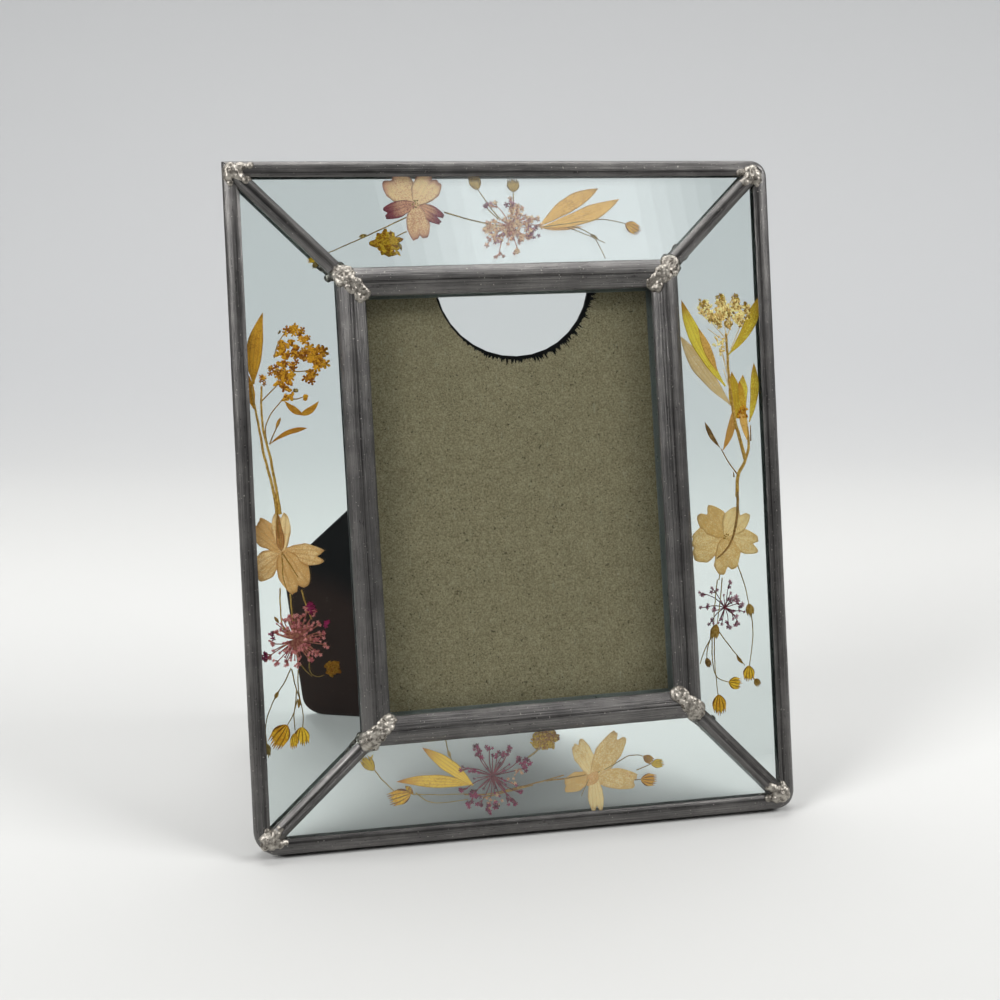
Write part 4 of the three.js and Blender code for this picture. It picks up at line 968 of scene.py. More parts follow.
class Pile:
    """All that belongs to one specimen, gathered as one mesh in bench millimetres."""

    def __init__(self, name, seed):
        self.name, self.dice = name, random.Random(seed)
        self.points, self.faces, self.uvs, self.tones, self.looks, self.used = [], [], [], [], [], []

    def take(self, points, faces, uvs, tones, look):
        """Adds a mesh to the pile, all of it in one look."""
        start = len(self.points)
        if look not in self.used:
            self.used.append(look)
        self.points += [tuple(p) for p in points]
        self.uvs += uvs
        self.tones += list(tones)
        self.faces += [tuple(start + i for i in face) for face in faces]
        self.looks += [self.used.index(look)] * len(faces)

    def sheet(self, grid, look, thick):
        """A closed sheet over a grid of rows from base to tip and columns from edge to edge."""
        rows, columns = len(grid), len(grid[0])
        tone = self.dice.random()
        points, uvs = [], []
        for half in (0.5, -0.5):
            for r, row in enumerate(grid):
                for c, (u, v, n) in enumerate(row):
                    points.append((u, v, n + half * thick))
                    uvs.append((r / (rows - 1), 2 * c / (columns - 1) - 1))
        size = rows * columns
        faces = []
        for r in range(rows - 1):
            for c in range(columns - 1):
                a = r * columns + c
                quad = (a, a + 1, a + columns + 1, a + columns)
                faces += [quad, tuple(size + i for i in reversed(quad))]
        rim = (list(range(columns)) + [r * columns + columns - 1 for r in range(1, rows)]
               + [(rows - 1) * columns + c for c in range(columns - 2, -1, -1)]
               + [r * columns for r in range(rows - 2, 0, -1)])
        for a, b in zip(rim, rim[1:] + rim[:1]):
            faces.append((b, a, size + a, size + b))
        self.take(points, faces, uvs, [tone] * len(points), look)

    def shaped(self, place, rows, columns, look, thick):
        """A sheet whose place is a function of t, base to tip, s, edge to edge, and the column."""
        grid = [[place(r / (rows - 1), 2 * c / (columns - 1) - 1, c) for c in range(columns)]
                for r in range(rows)]
        self.sheet(grid, look, thick)
        return grid

    def absorb(self, piece, look):
        """Takes over the mesh that a tree made, with its tones."""
        data = piece.data
        points = at_points(piece)
        tone = data.attributes.get("tone")
        if tone and tone.domain == "POINT":
            tones = np.empty(len(points), np.float32)
            tone.data.foreach_get("value", tones)
        else:
            tones = [self.dice.random()] * len(points)
        faces = [tuple(p.vertices) for p in data.polygons]
        self.take(points, faces, [(0.5, 0.0)] * len(points), tones, look)
        bpy.data.objects.remove(piece)

    def stalks(self, runs, look="stem", girth=0.24, layer=0.0, thin=0.7, wander=0.35, flat=0.7):
        """Stalks through runs of points; each run thins towards its end."""
        verts, edges, sizes = [], [], []
        for run in runs:
            for i, (u, v) in enumerate(run):
                if i:
                    edges.append((len(verts) - 1, len(verts)))
                verts.append((u, v, layer / flat))
                sizes.append(1 + (thin - 1) * i / (len(run) - 1))
        piece = mesh_object("run", verts, edges)
        mark(piece, "girth", sizes)
        grow(piece, stalk_tree, Girth=girth, Wander=wander, Flat=flat, Finish=LOOKS[look])
        self.absorb(piece, look)

    def florets(self, spots, look, shape="star", tilt=0.7, flat=0.35, layer=0.0):
        """Florets at (u, v, size)."""
        piece = mesh_object("spots", [(u, v, layer / flat) for u, v, _ in spots])
        mark(piece, "spread", [size for _, _, size in spots])
        grow(piece, floret_tree, Shape=SHAPES[shape], Tilt=tilt, Flat=flat, Seed=self.dice.randrange(999),
             Finish=LOOKS[look])
        self.absorb(piece, look)

    def done(self, side, slot, node):
        """The finished piece, stood up between its panes."""
        flat = np.array(self.points)
        flat[:, 2] = np.clip(flat[:, 2], -POCKET, POCKET)
        piece = mesh_object(self.name, stand(flat, side), faces=self.faces)
        for look in self.used:
            piece.data.materials.append(LOOKS[look])
        piece.data.polygons.foreach_set("material_index", self.looks)
        piece.data.polygons.foreach_set("use_smooth", [True] * len(self.faces))
        lay_uv(piece, "sheet", self.uvs)
        mark(piece, "tone", self.tones)
        with reworked(piece) as work:
            bmesh.ops.recalc_face_normals(work, faces=work.faces)
        print(self.name, len(piece.data.polygons), "faces")
        keep(piece, "frame", slot, node)


print("a specimen can be piled up")

# %% [markdown]
# Every plant part is one of a few shapes: a notched petal, a lance leaf, a ribbed cup, an umbel
# with a tuft on each ray, and a button packed with grains on a golden spiral. Each is a rule for
# where a point of the sheet or a floret goes, with seeded dice for what grows by chance.

# %% Plant parts
GOLDEN = 2.39996


class Pressing(Pile):
    """The shapes that the plants are made of."""

    def petal(self, centre, first, second, look, layer=0.0, notch=0.13, base=0.13):
        """A petal from the centre to two rounded lobes with a notch between them."""
        centre, first, second = (np.array(p, float) for p in (centre, first, second))
        way = (first + second) / 2 - centre
        far = float(np.hypot(*way))
        way /= far
        over = np.array([-way[1], way[0]])
        wide = abs(float(np.dot(first - second, over))) / 2 / 0.84
        lean = float(np.dot(first - second, way)) / 2 * (1 if np.dot(first - second, over) > 0 else -1)
        phase = self.dice.uniform(0, 50)

        def place(t, s, _):
            end = (1.03 - notch * math.exp(-(s / 0.17) ** 2) - 0.34 * max(0, abs(s) - 0.55) ** 2 / 0.2
                   + 0.035 * noise.noise((s * 3.1, phase, 0)) * 2)
            body = base + (1 - base) * math.sin(math.pi / 2 * t ** 0.85) ** 0.95
            wave = 1 + 0.09 * noise.noise((t * 3, phase + 9 * (s > 0), 1)) * 2 * abs(s)
            p = centre + way * (t * far * end + lean * s * t / 0.84) + over * (s * wide * body * wave)
            ripple = 0.05 * noise.noise((s * 2.5, t * 3, phase)) + 0.05 * math.cos(s * 9) * (1 - t)
            return p[0], p[1], layer + ripple

        self.shaped(place, 14, 17, look, 0.07)

    def leaf(self, base, tip, width, look, widest=0.5, bow=0.0, layer=0.0):
        """A lance leaf; bow bends it sideways, in fractions of its length."""
        base, tip = np.array(base, float), np.array(tip, float)
        way = tip - base
        over = np.array([-way[1], way[0]])
        k = width / 2 / float(np.hypot(*way))
        phase = self.dice.uniform(0, 50)

        def place(t, s, _):
            x = t / widest if t < widest else (1 - t) / (1 - widest)
            body = max(0.12 * (1 - t), math.sin(math.pi / 2 * min(1, x)) ** 0.9)
            wave = 1 + 0.16 * noise.noise((t * 4, phase + 7 * (s > 0), 0))
            p = base + way * t + over * (s * k * body * wave + bow * 4 * t * (1 - t))
            return p[0], p[1], layer + 0.05 * noise.noise((t * 5, s, phase)) - 0.05 * (1 - abs(s))

        self.shaped(place, 20, 7, look, 0.08)

    def cup(self, base, mouth, width, look="yellow", layer=0.0, ribs=7):
        """A small flower or seed cup seen from the side: a ribbed fan with a scalloped mouth."""
        base, mouth = np.array(base, float), np.array(mouth, float)
        way = mouth - base
        over = np.array([-way[1], way[0]]) / float(np.hypot(*way))
        phase = self.dice.uniform(0, 50)

        def place(t, s, c):
            swell = 0.16 + 0.84 * math.sin(math.pi / 2 * min(1, t * 1.25)) ** 0.8
            tip = 1 - 0.16 * abs(s) ** 2 + (0.2 if c % 2 else -0.1) + 0.2 * noise.noise((s * 4, phase, 0))
            p = base + way * (t * tip) + over * (s * width / 2 * swell * (1 - 0.12 * t * t))
            bulge = 0.3 * math.cos(s * math.pi / 2) * math.sin(math.pi * min(1, t + 0.12))
            return p[0], p[1], layer + bulge * 0.8 + (0.05 if c % 2 else -0.05)

        grid = self.shaped(place, 9, 2 * ribs + 1, look, 0.16)
        self.sheet([[(u, v, 2 * layer - n) for u, v, n in row] for row in grid], look, 0.1)

    def tufts(self, look, *handfuls, **more):
        """Handfuls of florets, each given as (u, v, how many, reach, size)."""
        for u, v, count, reach, size in handfuls:
            spots = []
            for i in range(count):
                a, r = self.dice.uniform(0, 2 * math.pi), reach * math.sqrt((i + 0.3) / count)
                spots.append((u + r * math.cos(a), v + r * math.sin(a), size))
            self.florets(spots, look, **more)

    def umbel(self, centre, tips, look, ray_look, size=0.8, per_tip=3, inner=10, girth=0.13):
        """Rays from a centre, each with a tuft at its tip, and a tangle of smaller ones inside."""
        centre = np.array(centre, float)
        rays, outer, middle = [], [], []
        for tip in tips:
            tip = np.array(tip, float)
            bend = np.array([-(tip - centre)[1], (tip - centre)[0]]) * self.dice.uniform(-0.09, 0.09)
            rays.append([centre, (centre + tip) / 2 + bend, tip])
            for _ in range(per_tip):
                a, r = self.dice.uniform(0, 2 * math.pi), self.dice.uniform(0.35, 1.35) * size
                spot = tip + r * np.array([math.cos(a), math.sin(a)])
                outer.append((*spot, size * 0.72))
                rays.append([centre + (tip - centre) * 0.86, spot])
        mean = float(np.mean([np.hypot(*(np.array(tip) - centre)) for tip in tips]))
        for _ in range(inner):
            a = self.dice.uniform(0, 2 * math.pi)
            r = self.dice.uniform(0.3, 0.92) * mean
            spot = centre + r * np.array([math.cos(a), math.sin(a)])
            rays.append([centre, spot])
            middle.append((*spot, size * 0.62))
        self.stalks(rays, ray_look, girth * 1.25, 0.0, 0.7, 0.2)
        self.florets(outer, look, layer=0.08)
        self.florets(middle, look, layer=0.16)
        self.florets([(*centre, 0.6)], ray_look, "grain", layer=0.05)

    def button(self, centre, wide, high, look="button", grains=46, size=0.85):
        """A flower head seen from the front: grains packed on a spiral, in three layers."""
        spots = []
        for i in range(grains):
            r, a = math.sqrt((i + 0.5) / grains), i * GOLDEN
            wobble = self.dice.uniform(0.9, 1.08)
            spots.append((centre[0] + wide * r * wobble * math.cos(a),
                          centre[1] + high * r * wobble * math.sin(a), size))
        self.florets(spots, look, "lobe", 1.0, 0.42, 0.05)
        self.florets([(u, v, s * 1.1) for u, v, s in spots[::3]], look, "star", 0.6, 0.4, -0.12)
        self.florets([(u, v, s * 1.9) for u, v, s in spots[::2]], look, "lobe", 0.3, 0.15, -0.2)


print("petals, leaves, cups, umbels and buttons can be laid")

# %% [markdown]
# ## The top pane
# A rosy five-petalled flower, a yellow head, a blush umbel with two seed cups, and a pair of
# ochre leaves with a bud. Petals lie over each other in thin layers, the stalks below them.

# %% Pressed bud stem
p = Pressing("pressed_bud_stem", 3)
p.stalks([[(-29.4, 181.2), (-33, 179.6), (-40.3, 176.2), (-47, 173.2), (-52.4, 170.9)]], "stem", 0.2)
p.leaf((-41.2, 176.1), (-43.6, 175.4), 1.1, "stem")
p.done("top", "dried_stem", "top_bud_stem")

# %% Pressed rose flower
p = Pressing("pressed_rose_flower", 5)
middle = (-26.8, 185.2)
p.petal(middle, (-36.4, 190.6), (-30.4, 195.2), "rose", -0.1, 0.08)
p.petal(middle, (-23.4, 195.4), (-18.2, 190.6), "rose", 0.02, 0.1)
p.petal(middle, (-18.3, 182.2), (-20.2, 178.6), "wine", -0.16, 0.2)
p.petal(middle, (-23.2, 175.2), (-28.6, 174.4), "rose", 0.1, 0.16, 0.2)
p.petal(middle, (-35.0, 180.2), (-36.2, 184.4), "wine", 0.16, 0.1, 0.2)
p.tufts("stem", (*middle, 14, 1.2, 0.34), shape="grain", layer=0.24)
p.done("top", "petal_pink", "top_pink_flower")

# %% Pressed yellow head
p = Pressing("pressed_yellow_head", 7)
p.stalks([[(-29.7, 176.9), (-31.4, 176.2), (-33.2, 175.2)]], "stem", 0.2)
p.button((-35.6, 173.6), 3.3, 3.2)
p.leaf((-33.4, 171.6), (-31.9, 169.6), 0.9, "button")
p.leaf((-33, 174.0), (-31.6, 171.0), 0.8, "stem", bow=0.15)
p.done("top", "petal_yellow", "top_yellow_head")

# %% Pressed blush umbel
p = Pressing("pressed_blush_umbel", 9)
p.stalks([[(-18.4, 182.6), (-12, 180.6), (-5.6, 178.9), (-1, 178.2)]], "stem", 0.24)
p.stalks([[(-2.4, 180.7), (-5.6, 185.4), (-8.2, 189.8)], [(0.9, 179.4), (2.2, 184), (2.5, 188.9)],
          [(-2.6, 180.3), (-4.4, 182.2), (-6.4, 184.6)]], "stem", 0.19)
p.cup((-8.1, 189.4), (-9.2, 193.8), 3.9, "straw")
p.cup((2.5, 188.7), (2.7, 192.3), 4.0, "straw")
p.umbel((0.9, 178.2), [(-6.1, 176.8), (-3.2, 184.9), (1.8, 185.6), (3.3, 183.2), (6.7, 180.6),
        (6.8, 174.9), (8.6, 180.4), (2.6, 170.9), (-3.3, 169.2), (-6.2, 173.8), (9.6, 178.4),
        (-5, 178.6), (3.4, 173.4), (-3.0, 175.2)], "blush", "ray", 1.0, 3, 34, 0.14)
p.tufts("mauve", (1.4, 184.6, 5, 1.3, 0.8), (-5.4, 184.9, 4, 1.3, 0.7), layer=0.18)
p.tufts("blush", (-2.2, 176.8, 38, 4.4, 0.74), (3.0, 177.6, 38, 4.4, 0.74), layer=0.2)
p.tufts("blush", (2.8, 182.4, 12, 2.4, 0.74), layer=0.16)
p.tufts("mauve", (7.4, 176.6, 10, 2.2, 0.8), layer=0.22)
p.tufts("mauve", (-3.0, 175.0, 6, 2.4, 0.66), layer=0.24)
p.done("top", "petal_pink", "top_pink_umbel")

# %% Pressed ochre leaves
p = Pressing("pressed_ochre_leaves", 13)
p.leaf((9.6, 178.2), (28.4, 189.6), 4.6, "ochre", 0.58, 0.03, -0.05)
p.leaf((9.8, 177.7), (34.5, 186.2), 4.8, "ochre", 0.6, -0.045, 0.08)
p.leaf((9.4, 178.0), (22.6, 177.8), 1.6, "ochre", 0.3, -0.03, 0.0)
p.stalks([[(10.4, 177.8), (18, 178.8), (26.6, 179.9), (32, 179.6), (36.0, 178.5)]], "stem", 0.19)
p.stalks([[(17.6, 177.9), (20.5, 176.6), (24.6, 174.9), (28.9, 172.8)],
          [(19.2, 178.0), (22.6, 176.8), (25.4, 174.9), (27.2, 171.6), (28.6, 168.0)]], "stem", 0.17)
p.leaf((24.6, 175.6), (26.9, 173.9), 1.1, "stem")
p.cup((35.8, 178.6), (39.4, 176.4), 3.9, "yellow")
p.done("top", "petal_yellow", "top_leaf_sprig")

# %% [markdown]
# ## The left pane
# A long amber leaf and a spray of small orange flowers on a double stalk, a tan flower, a pink
# umbel whose rays show, a yellow flower on a curled thread and three yellow cups that hang.

# %% Pressed lone bud
p = Pressing("pressed_lone_bud", 17)
p.stalks([[(-54.0, 170.1), (-55.6, 169.2), (-56.8, 168.2)]], "stem", 0.2)
p.cup((-55.6, 169.3), (-57.9, 169.0), 1.7, "button", 0.0, 4)
p.cup((-55.6, 168.8), (-56.7, 166.9), 1.6, "stem", 0.06, 4)
p.done("left", "dried_stem", "left_lone_bud")

# %% Pressed orange spray
p = Pressing("pressed_orange_spray", 19)
p.leaf((-75.1, 134.6), (-71.5, 154.9), 4.4, "amber", 0.42, 0.05)
p.leaf((-75.4, 127.6), (-76.3, 137.2), 2.4, "amber", 0.5, 0.02, -0.08)
p.stalks([[(-70.2, 97.2), (-70.6, 101.5), (-71.4, 106.5), (-73.1, 114.4), (-74.1, 121.8), (-75.2, 129),
           (-75.6, 134)],
          [(-69.3, 97.2), (-69.8, 102), (-70.6, 108), (-71.6, 114.8), (-72.9, 121), (-73.2, 127),
           (-72.9, 134)]], "reed", 0.46, 0.0, 0.6)
p.stalks([[(-71.8, 116.2), (-72.4, 121.4), (-70.8, 125.6), (-67.6, 129.4), (-66.0, 131.6)],
          [(-72.9, 129.8), (-70, 132.6), (-67.6, 134.8)],
          [(-68.6, 138.4), (-62, 137.6), (-56.9, 138.2)],
          [(-68.9, 141.8), (-68.0, 145.2), (-66.1, 148.2)],
          [(-65.8, 130.2), (-63.4, 129.8), (-61.4, 130.3)],
          [(-71.4, 117.4), (-69.6, 121.2), (-67.8, 124.4)]], "twig", 0.2, 0.0, 0.7)
p.leaf((-71.4, 117.2), (-60.6, 121.4), 1.5, "amber", 0.7, 0.09, 0.02)
p.leaf((-69.6, 121.2), (-68.0, 124.8), 0.9, "amber", 0.6)
p.leaf((-66.6, 129.4), (-61.6, 125.2), 1.9, "amber", 0.6, -0.06, 0.02)
p.leaf((-62.4, 125.2), (-57.0, 128.9), 2.0, "amber", 0.35, -0.08, -0.02)
p.tufts("stem", (-66.9, 149.0, 2, 0.6, 0.6), shape="grain")
p.tufts("orange", (-64.0, 149.4, 9, 1.7, 1.15), (-60.9, 147.6, 9, 1.9, 1.1))
p.tufts("orange", (-64.6, 145.2, 16, 2.7, 1.0), (-66.2, 142.0, 14, 2.4, 1.0), shape="lobe", tilt=1.0)
p.tufts("orange", (-61.6, 141.9, 12, 2.2, 1.2), (-57.2, 142.8, 11, 2.4, 1.5),
        (-56.4, 139.2, 10, 2.0, 1.4), (-58.8, 135.8, 8, 1.7, 1.2), (-66.0, 138.0, 18, 2.9, 1.15),
        (-69.6, 138.6, 7, 1.4, 0.9))
p.tufts("orange", (-66.6, 134.0, 14, 2.2, 0.95), (-65.4, 131.0, 9, 1.6, 0.85), shape="lobe", tilt=1.0)
p.tufts("orange", (-72.8, 135.6, 6, 1.3, 0.8))
p.tufts("stem", (-63.2, 132.2, 2, 0.4, 0.8), shape="grain")
p.tufts("orange", (-60.7, 130.2, 4, 0.5, 0.95), shape="grain")
p.done("left", "petal_orange", "left_orange_spray")

# %% Pressed tan flower
p = Pressing("pressed_tan_flower", 23)
middle = (-69.3, 86.6)
p.petal(middle, (-71.4, 97.6), (-67.0, 97.0), "tan", 0.06, 0.14, 0.26)
p.petal(middle, (-78.6, 92.8), (-73.9, 96.6), "tan", -0.1, 0.06, 0.2)
p.petal(middle, (-58.0, 87.0), (-58.4, 82.0), "tan", 0.0, 0.14, 0.22)
p.petal(middle, (-61.4, 77.6), (-68.2, 73.9), "tan", 0.14, 0.12, 0.2)
p.petal(middle, (-75.6, 77.9), (-78.4, 83.4), "tan", -0.16, 0.08, 0.22)
p.leaf((-70.2, 98.0), (-69.5, 86.6), 2.4, "smudge", 0.75, 0.0, 0.2)
p.stalks([[(-70.2, 97.4), (-70.1, 92), (-69.4, 87.6)], [(-69.3, 86.4), (-66.8, 82), (-65.2, 79)],
          [(-69.3, 86.4), (-69.4, 80), (-68.6, 76)]], "straw", 0.2, 0.2, 0.5)
p.tufts("tan", (-69.2, 85.8, 9, 1.2, 0.42), shape="grain", layer=0.26)
p.done("left", "petal_cream", "left_cream_flower")

# %% Pressed pink umbel
p = Pressing("pressed_pink_umbel", 29)
p.stalks([[(-70.4, 76.2), (-70.6, 71), (-70.2, 65.6), (-68.4, 62)],
          [(-67.6, 74.4), (-67.4, 68), (-67.0, 62.4)], [(-64.4, 75.4), (-63.2, 70.6), (-62.0, 66.9)]],
         "straw", 0.22)
p.umbel((-66.7, 61.4), [(-62.9, 69.8), (-67.6, 67.4), (-59.5, 65.6), (-57.9, 59.4), (-72.5, 63.5),
        (-74.9, 56.6), (-73.0, 54.6), (-63.2, 55.8), (-69.8, 67.2), (-59.0, 62.4), (-60.6, 57.2),
        (-69.6, 54.6), (-66.2, 53.8), (-73.6, 60.4), (-64.8, 68.2), (-61.2, 68.8)], "pink", "ray", 0.8,
        4, 110, 0.16)
p.tufts("magenta", (-61.4, 70.0, 7, 1.7, 0.95), (-58.2, 65.6, 4, 1.0, 0.8), (-75.4, 56.8, 6, 1.2, 0.8),
        (-73.4, 62.8, 4, 1.0, 0.7), layer=0.15)
p.leaf((-71.2, 66.2), (-72.4, 68.2), 0.9, "twig")
p.stalks([[(-63.0, 56.4), (-63.2, 52.9), (-62.6, 51.2), (-61.0, 50.4), (-59.2, 50.9)],
          [(-66.0, 54.6), (-64.2, 52.2), (-62.6, 50.6)]], "stem", 0.18)
p.button((-56.7, 52.7), 1.8, 1.8, "yellow", 30, 0.5)
p.done("left", "petal_pink", "left_pink_umbel")

# %% Pressed yellow cups
p = Pressing("pressed_yellow_cups", 31)
p.stalks([[(-68.4, 53.2), (-70.2, 49.6), (-72.8, 45.8), (-75.2, 41), (-76.4, 36.4), (-76.2, 31.6)],
          [(-68.2, 52.9), (-67.4, 48), (-66.2, 43.7), (-65.6, 39.5), (-66.0, 35.4)],
          [(-67.2, 46.8), (-68.0, 41.0), (-70.2, 36.9)], [(-66.9, 44.4), (-68.2, 40), (-68.0, 35.4)],
          [(-66.4, 52.6), (-66.6, 47), (-65.9, 42)]], "stem", 0.18)
p.leaf((-72.2, 46.8), (-73.4, 44.6), 1.1, "straw")
p.leaf((-66.4, 44.6), (-66.8, 41.6), 0.9, "straw")
p.cup((-70.3, 37.0), (-73.9, 31.8), 5.6, "yellow", 0.08, 8)
p.cup((-66.2, 36.2), (-66.2, 31.8), 4.6, "yellow", -0.05, 7)
p.cup((-68.3, 34.6), (-68.7, 30.6), 2.4, "yellow", 0.15, 4)
p.cup((-76.2, 32.0), (-76.2, 28.6), 2.3, "stem", 0.0, 4)
p.done("left", "petal_yellow", "left_yellow_sprig")

# %% [markdown]
# ## The right pane
# A tall plant with yellow bracts, a flat-topped head of creamy florets and pale leaves; a cream
# flower over its stalk; a small wine-red umbel of open florets; and yellow cups on long threads.

# %% Pressed yellow spray
p = Pressing("pressed_yellow_spray", 37)
p.leaf((66.4, 123.6), (50.4, 144.6), 5.0, "pale", 0.62, 0.03, -0.12)
p.leaf((64.6, 129.4), (51.2, 155.4), 4.4, "lemon", 0.6, 0.05, 0.04)
p.leaf((62.0, 134.0), (56.4, 147.0), 2.6, "ochre", 0.5, 0.0, 0.12)
p.leaf((66.2, 139.0), (77.7, 156.8), 3.8, "lemon", 0.66, -0.06, 0.0)
p.leaf((68.0, 119.6), (66.9, 133.8), 4.0, "lemon", 0.5, -0.02, 0.02)
p.leaf((69.8, 120.6), (70.6, 132.8), 3.4, "lemon", 0.6, 0.0, 0.14)
p.leaf((71.0, 119.6), (69.2, 131.0), 2.2, "gold", 0.6, 0.0, 0.22)
p.leaf((72.2, 118.4), (74.6, 136.4), 2.9, "lemon", 0.6, -0.05, 0.0)
p.leaf((71.0, 113.0), (69.8, 122.0), 2.6, "ochre", 0.75, 0.0, 0.1)
p.leaf((62.9, 110.2), (67.2, 123.4), 2.5, "ochre", 0.5, -0.06, 0.05)
p.leaf((61.8, 111.0), (57.2, 118.8), 1.6, "twig", 0.55, 0.05)
p.stalks([[(66.9, 95.8), (67.5, 102.2), (70.0, 106.4), (71.6, 111.2), (71.4, 117)],
          [(70.2, 107.2), (68.8, 113), (67.4, 118.4), (66.6, 125), (65.9, 131.4), (65.8, 138),
           (65.6, 145.4)]], "reed", 0.62, -0.02, 0.62, flat=0.5)
p.stalks([[(67.4, 102.6), (64.4, 106.6), (62.2, 110.6)], [(72.4, 112.6), (72.6, 117.4)],
          [(66.2, 101.8), (66.0, 103.4)]], "twig", 0.24)
p.stalks([[(65.7, 143.6), (61.0, 148.6)], [(65.7, 144.6), (65.0, 150.6)], [(65.7, 144), (68.6, 150.2)],
          [(67.0, 140.6), (70.4, 147.4), (71.6, 150.2)], [(65.6, 142.6), (59.6, 146.8)],
          [(65.9, 132), (63.4, 141)], [(65.9, 131), (64.6, 137.4), (63.8, 141.2)],
          [(66.2, 128), (64.2, 134.6)]], "pale", 0.2, 0.0, 0.6)
for u, v, r in ((58.9, 153.0, 2.3), (60.8, 150.6, 1.8), (64.2, 155.2, 1.6), (64.2, 152.4, 1.8),
                (66.6, 152.6, 2.0), (69.2, 154.2, 2.0), (72.2, 152.0, 2.3), (70.2, 149.4, 1.8),
                (63.2, 149.2, 2.1), (66.6, 149.4, 2.2)):
    p.tufts("fluff", (u, v, 30, r, 0.7), shape="lobe", tilt=1.2, layer=0.1)
    p.tufts("straw", (u + 0.3, v - 0.6, 10, r * 0.8, 0.6), shape="lobe", tilt=1.2, layer=0.16)
for u, v in ((58.2, 154.6), (64.2, 156.6), (69.6, 156.0), (73.0, 153.6)):
    p.tufts("button", (u, v, 7, 1.3, 0.7), layer=0.18)
p.tufts("fluff", (62.9, 142.8, 18, 2.0, 0.62), (64.2, 140.2, 9, 1.4, 0.6), shape="lobe", tilt=1.2,
        layer=0.1)
p.tufts("orange", (69.8, 121.4, 16, 2.0, 0.62), shape="lobe", layer=0.2)
p.done("right", "petal_yellow", "right_yellow_spray")

# %% Pressed cream flower
p = Pressing("pressed_cream_flower", 41)
middle = (62.3, 84.2)
p.petal(middle, (52.6, 89.8), (58.8, 94.2), "cream", -0.04, 0.16)
p.petal(middle, (65.4, 92.9), (71.6, 89.4), "cream", 0.04, 0.16)
p.petal(middle, (73.4, 84.0), (72.6, 77.8), "cream", -0.12, 0.16)
p.petal(middle, (66.4, 74.6), (59.0, 72.6), "cream", 0.1, 0.16)
p.petal(middle, (52.2, 76.6), (51.0, 86.0), "cream", -0.16, 0.08)
p.stalks([[(66.9, 97.4), (66.8, 92.4), (65.8, 87), (64.3, 82.8), (61.9, 79.7), (59.0, 77.6)]],
         "twig", 0.5, 0.27, 0.45)
p.stalks([[(63.4, 82.0), (65.4, 77.6), (67.0, 72.6)], [(61.9, 84), (61.0, 78), (59.6, 71)]],
         "stem", 0.2, -0.26, 0.9)
p.tufts("straw", (*middle, 12, 1.15, 0.36), shape="grain", layer=0.24)
p.done("right", "petal_cream", "right_cream_flower")

# %% Pressed wine umbel
p = Pressing("pressed_wine_umbel", 43)
p.umbel((61.1, 62.7), [(53.7, 67.6), (57.9, 68.0), (62.6, 69.4), (65.4, 65.4), (66.4, 61.3),
        (65.4, 57.8), (61.9, 57.4), (56.1, 58.5), (54.1, 63.3), (56.8, 61.8), (63.2, 65.2),
        (63.8, 60.4), (66.0, 63.6)], "mauve", "wine_ray", 1.0, 3, 9, 0.12)
p.done("right", "petal_purple", "right_purple_umbel")

# %% Pressed cup sprig
p = Pressing("pressed_cup_sprig", 47)
p.stalks([[(66.9, 73), (68.4, 67.6), (69.2, 62.8)],
          [(69.8, 61.2), (70.2, 56), (69.6, 50), (68.4, 44.2)],
          [(60.6, 71.6), (59.6, 64.8), (58.0, 56.8)], [(59.0, 71.2), (57.8, 64), (56.9, 56.6)],
          [(57.2, 55.4), (56.9, 49), (57.0, 43), (57.5, 36)],
          [(56.4, 55), (56.2, 47), (57.4, 42), (61.4, 40)],
          [(58.2, 56.2), (62.0, 51), (65.2, 47), (66.9, 44.6)],
          [(56.2, 54.6), (54.6, 50.6), (54.3, 47.8)], [(56.0, 53.8), (53.4, 50.0), (52.0, 46.4)],
          [(68.9, 41.2), (70.0, 40.2)]], "stem", 0.19)
p.cup((69.2, 63.2), (69.7, 59.8), 3.0, "straw", 0.05, 4)
p.cup((58.0, 57.8), (56.8, 53.8), 3.2, "straw", 0.05, 4)
p.leaf((64.2, 47.8), (66.2, 45.2), 1.1, "straw")
p.cup((57.6, 36.6), (57.8, 31.4), 4.9, "yellow", 0.08, 7)
p.cup((61.3, 40.1), (64.9, 39.2), 4.0, "yellow", 0.0, 6)
p.cup((68.2, 44.4), (68.1, 40.4), 4.1, "yellow", 0.06, 6)
p.cup((70.2, 40.2), (71.4, 38.2), 2.3, "straw", -0.05, 4)
p.cup((54.2, 48.0), (55.0, 45.4), 2.0, "twig", 0.0, 4)
p.done("right", "petal_yellow", "right_bud_sprig")

# %% [markdown]
# ## The bottom pane
# Two golden leaves and a pair of cups on threads, a large magenta umbel over its straw stalk, a
# yellow head, a cream flower and three little seed cups.

# %% Pressed golden leaves
p = Pressing("pressed_golden_leaves", 53)
p.leaf((-17.8, 15.6), (-32.4, 28.2), 3.9, "gold", 0.5, -0.02, 0.04)
p.leaf((-18.2, 15.8), (-40.2, 18.6), 3.9, "gold", 0.45, -0.03, -0.06)
p.stalks([[(-46.4, 22.9), (-44.2, 19.6), (-40.8, 15.9)], [(-35.4, 14.4), (-28, 13.6), (-20.4, 13.2)],
          [(-34.6, 14.8), (-31, 11.8), (-26.6, 11.1), (-19.4, 11.4)],
          [(-25.7, 31.4), (-25.0, 27.2), (-23.6, 22.9)]], "stem", 0.18)
p.leaf((-25.0, 27.0), (-24.2, 24.4), 0.9, "straw")
p.cup((-46.5, 22.7), (-49.2, 26.4), 3.6, "button", 0.05, 5)
p.leaf((-46.8, 23.6), (-46.4, 27.4), 0.9, "button", bow=0.2)
p.cup((-36.2, 14.8), (-41.6, 13.4), 5.2, "yellow", 0.08, 7)
p.leaf((-35.2, 14.2), (-37.6, 17.2), 1.7, "button", 0.6)
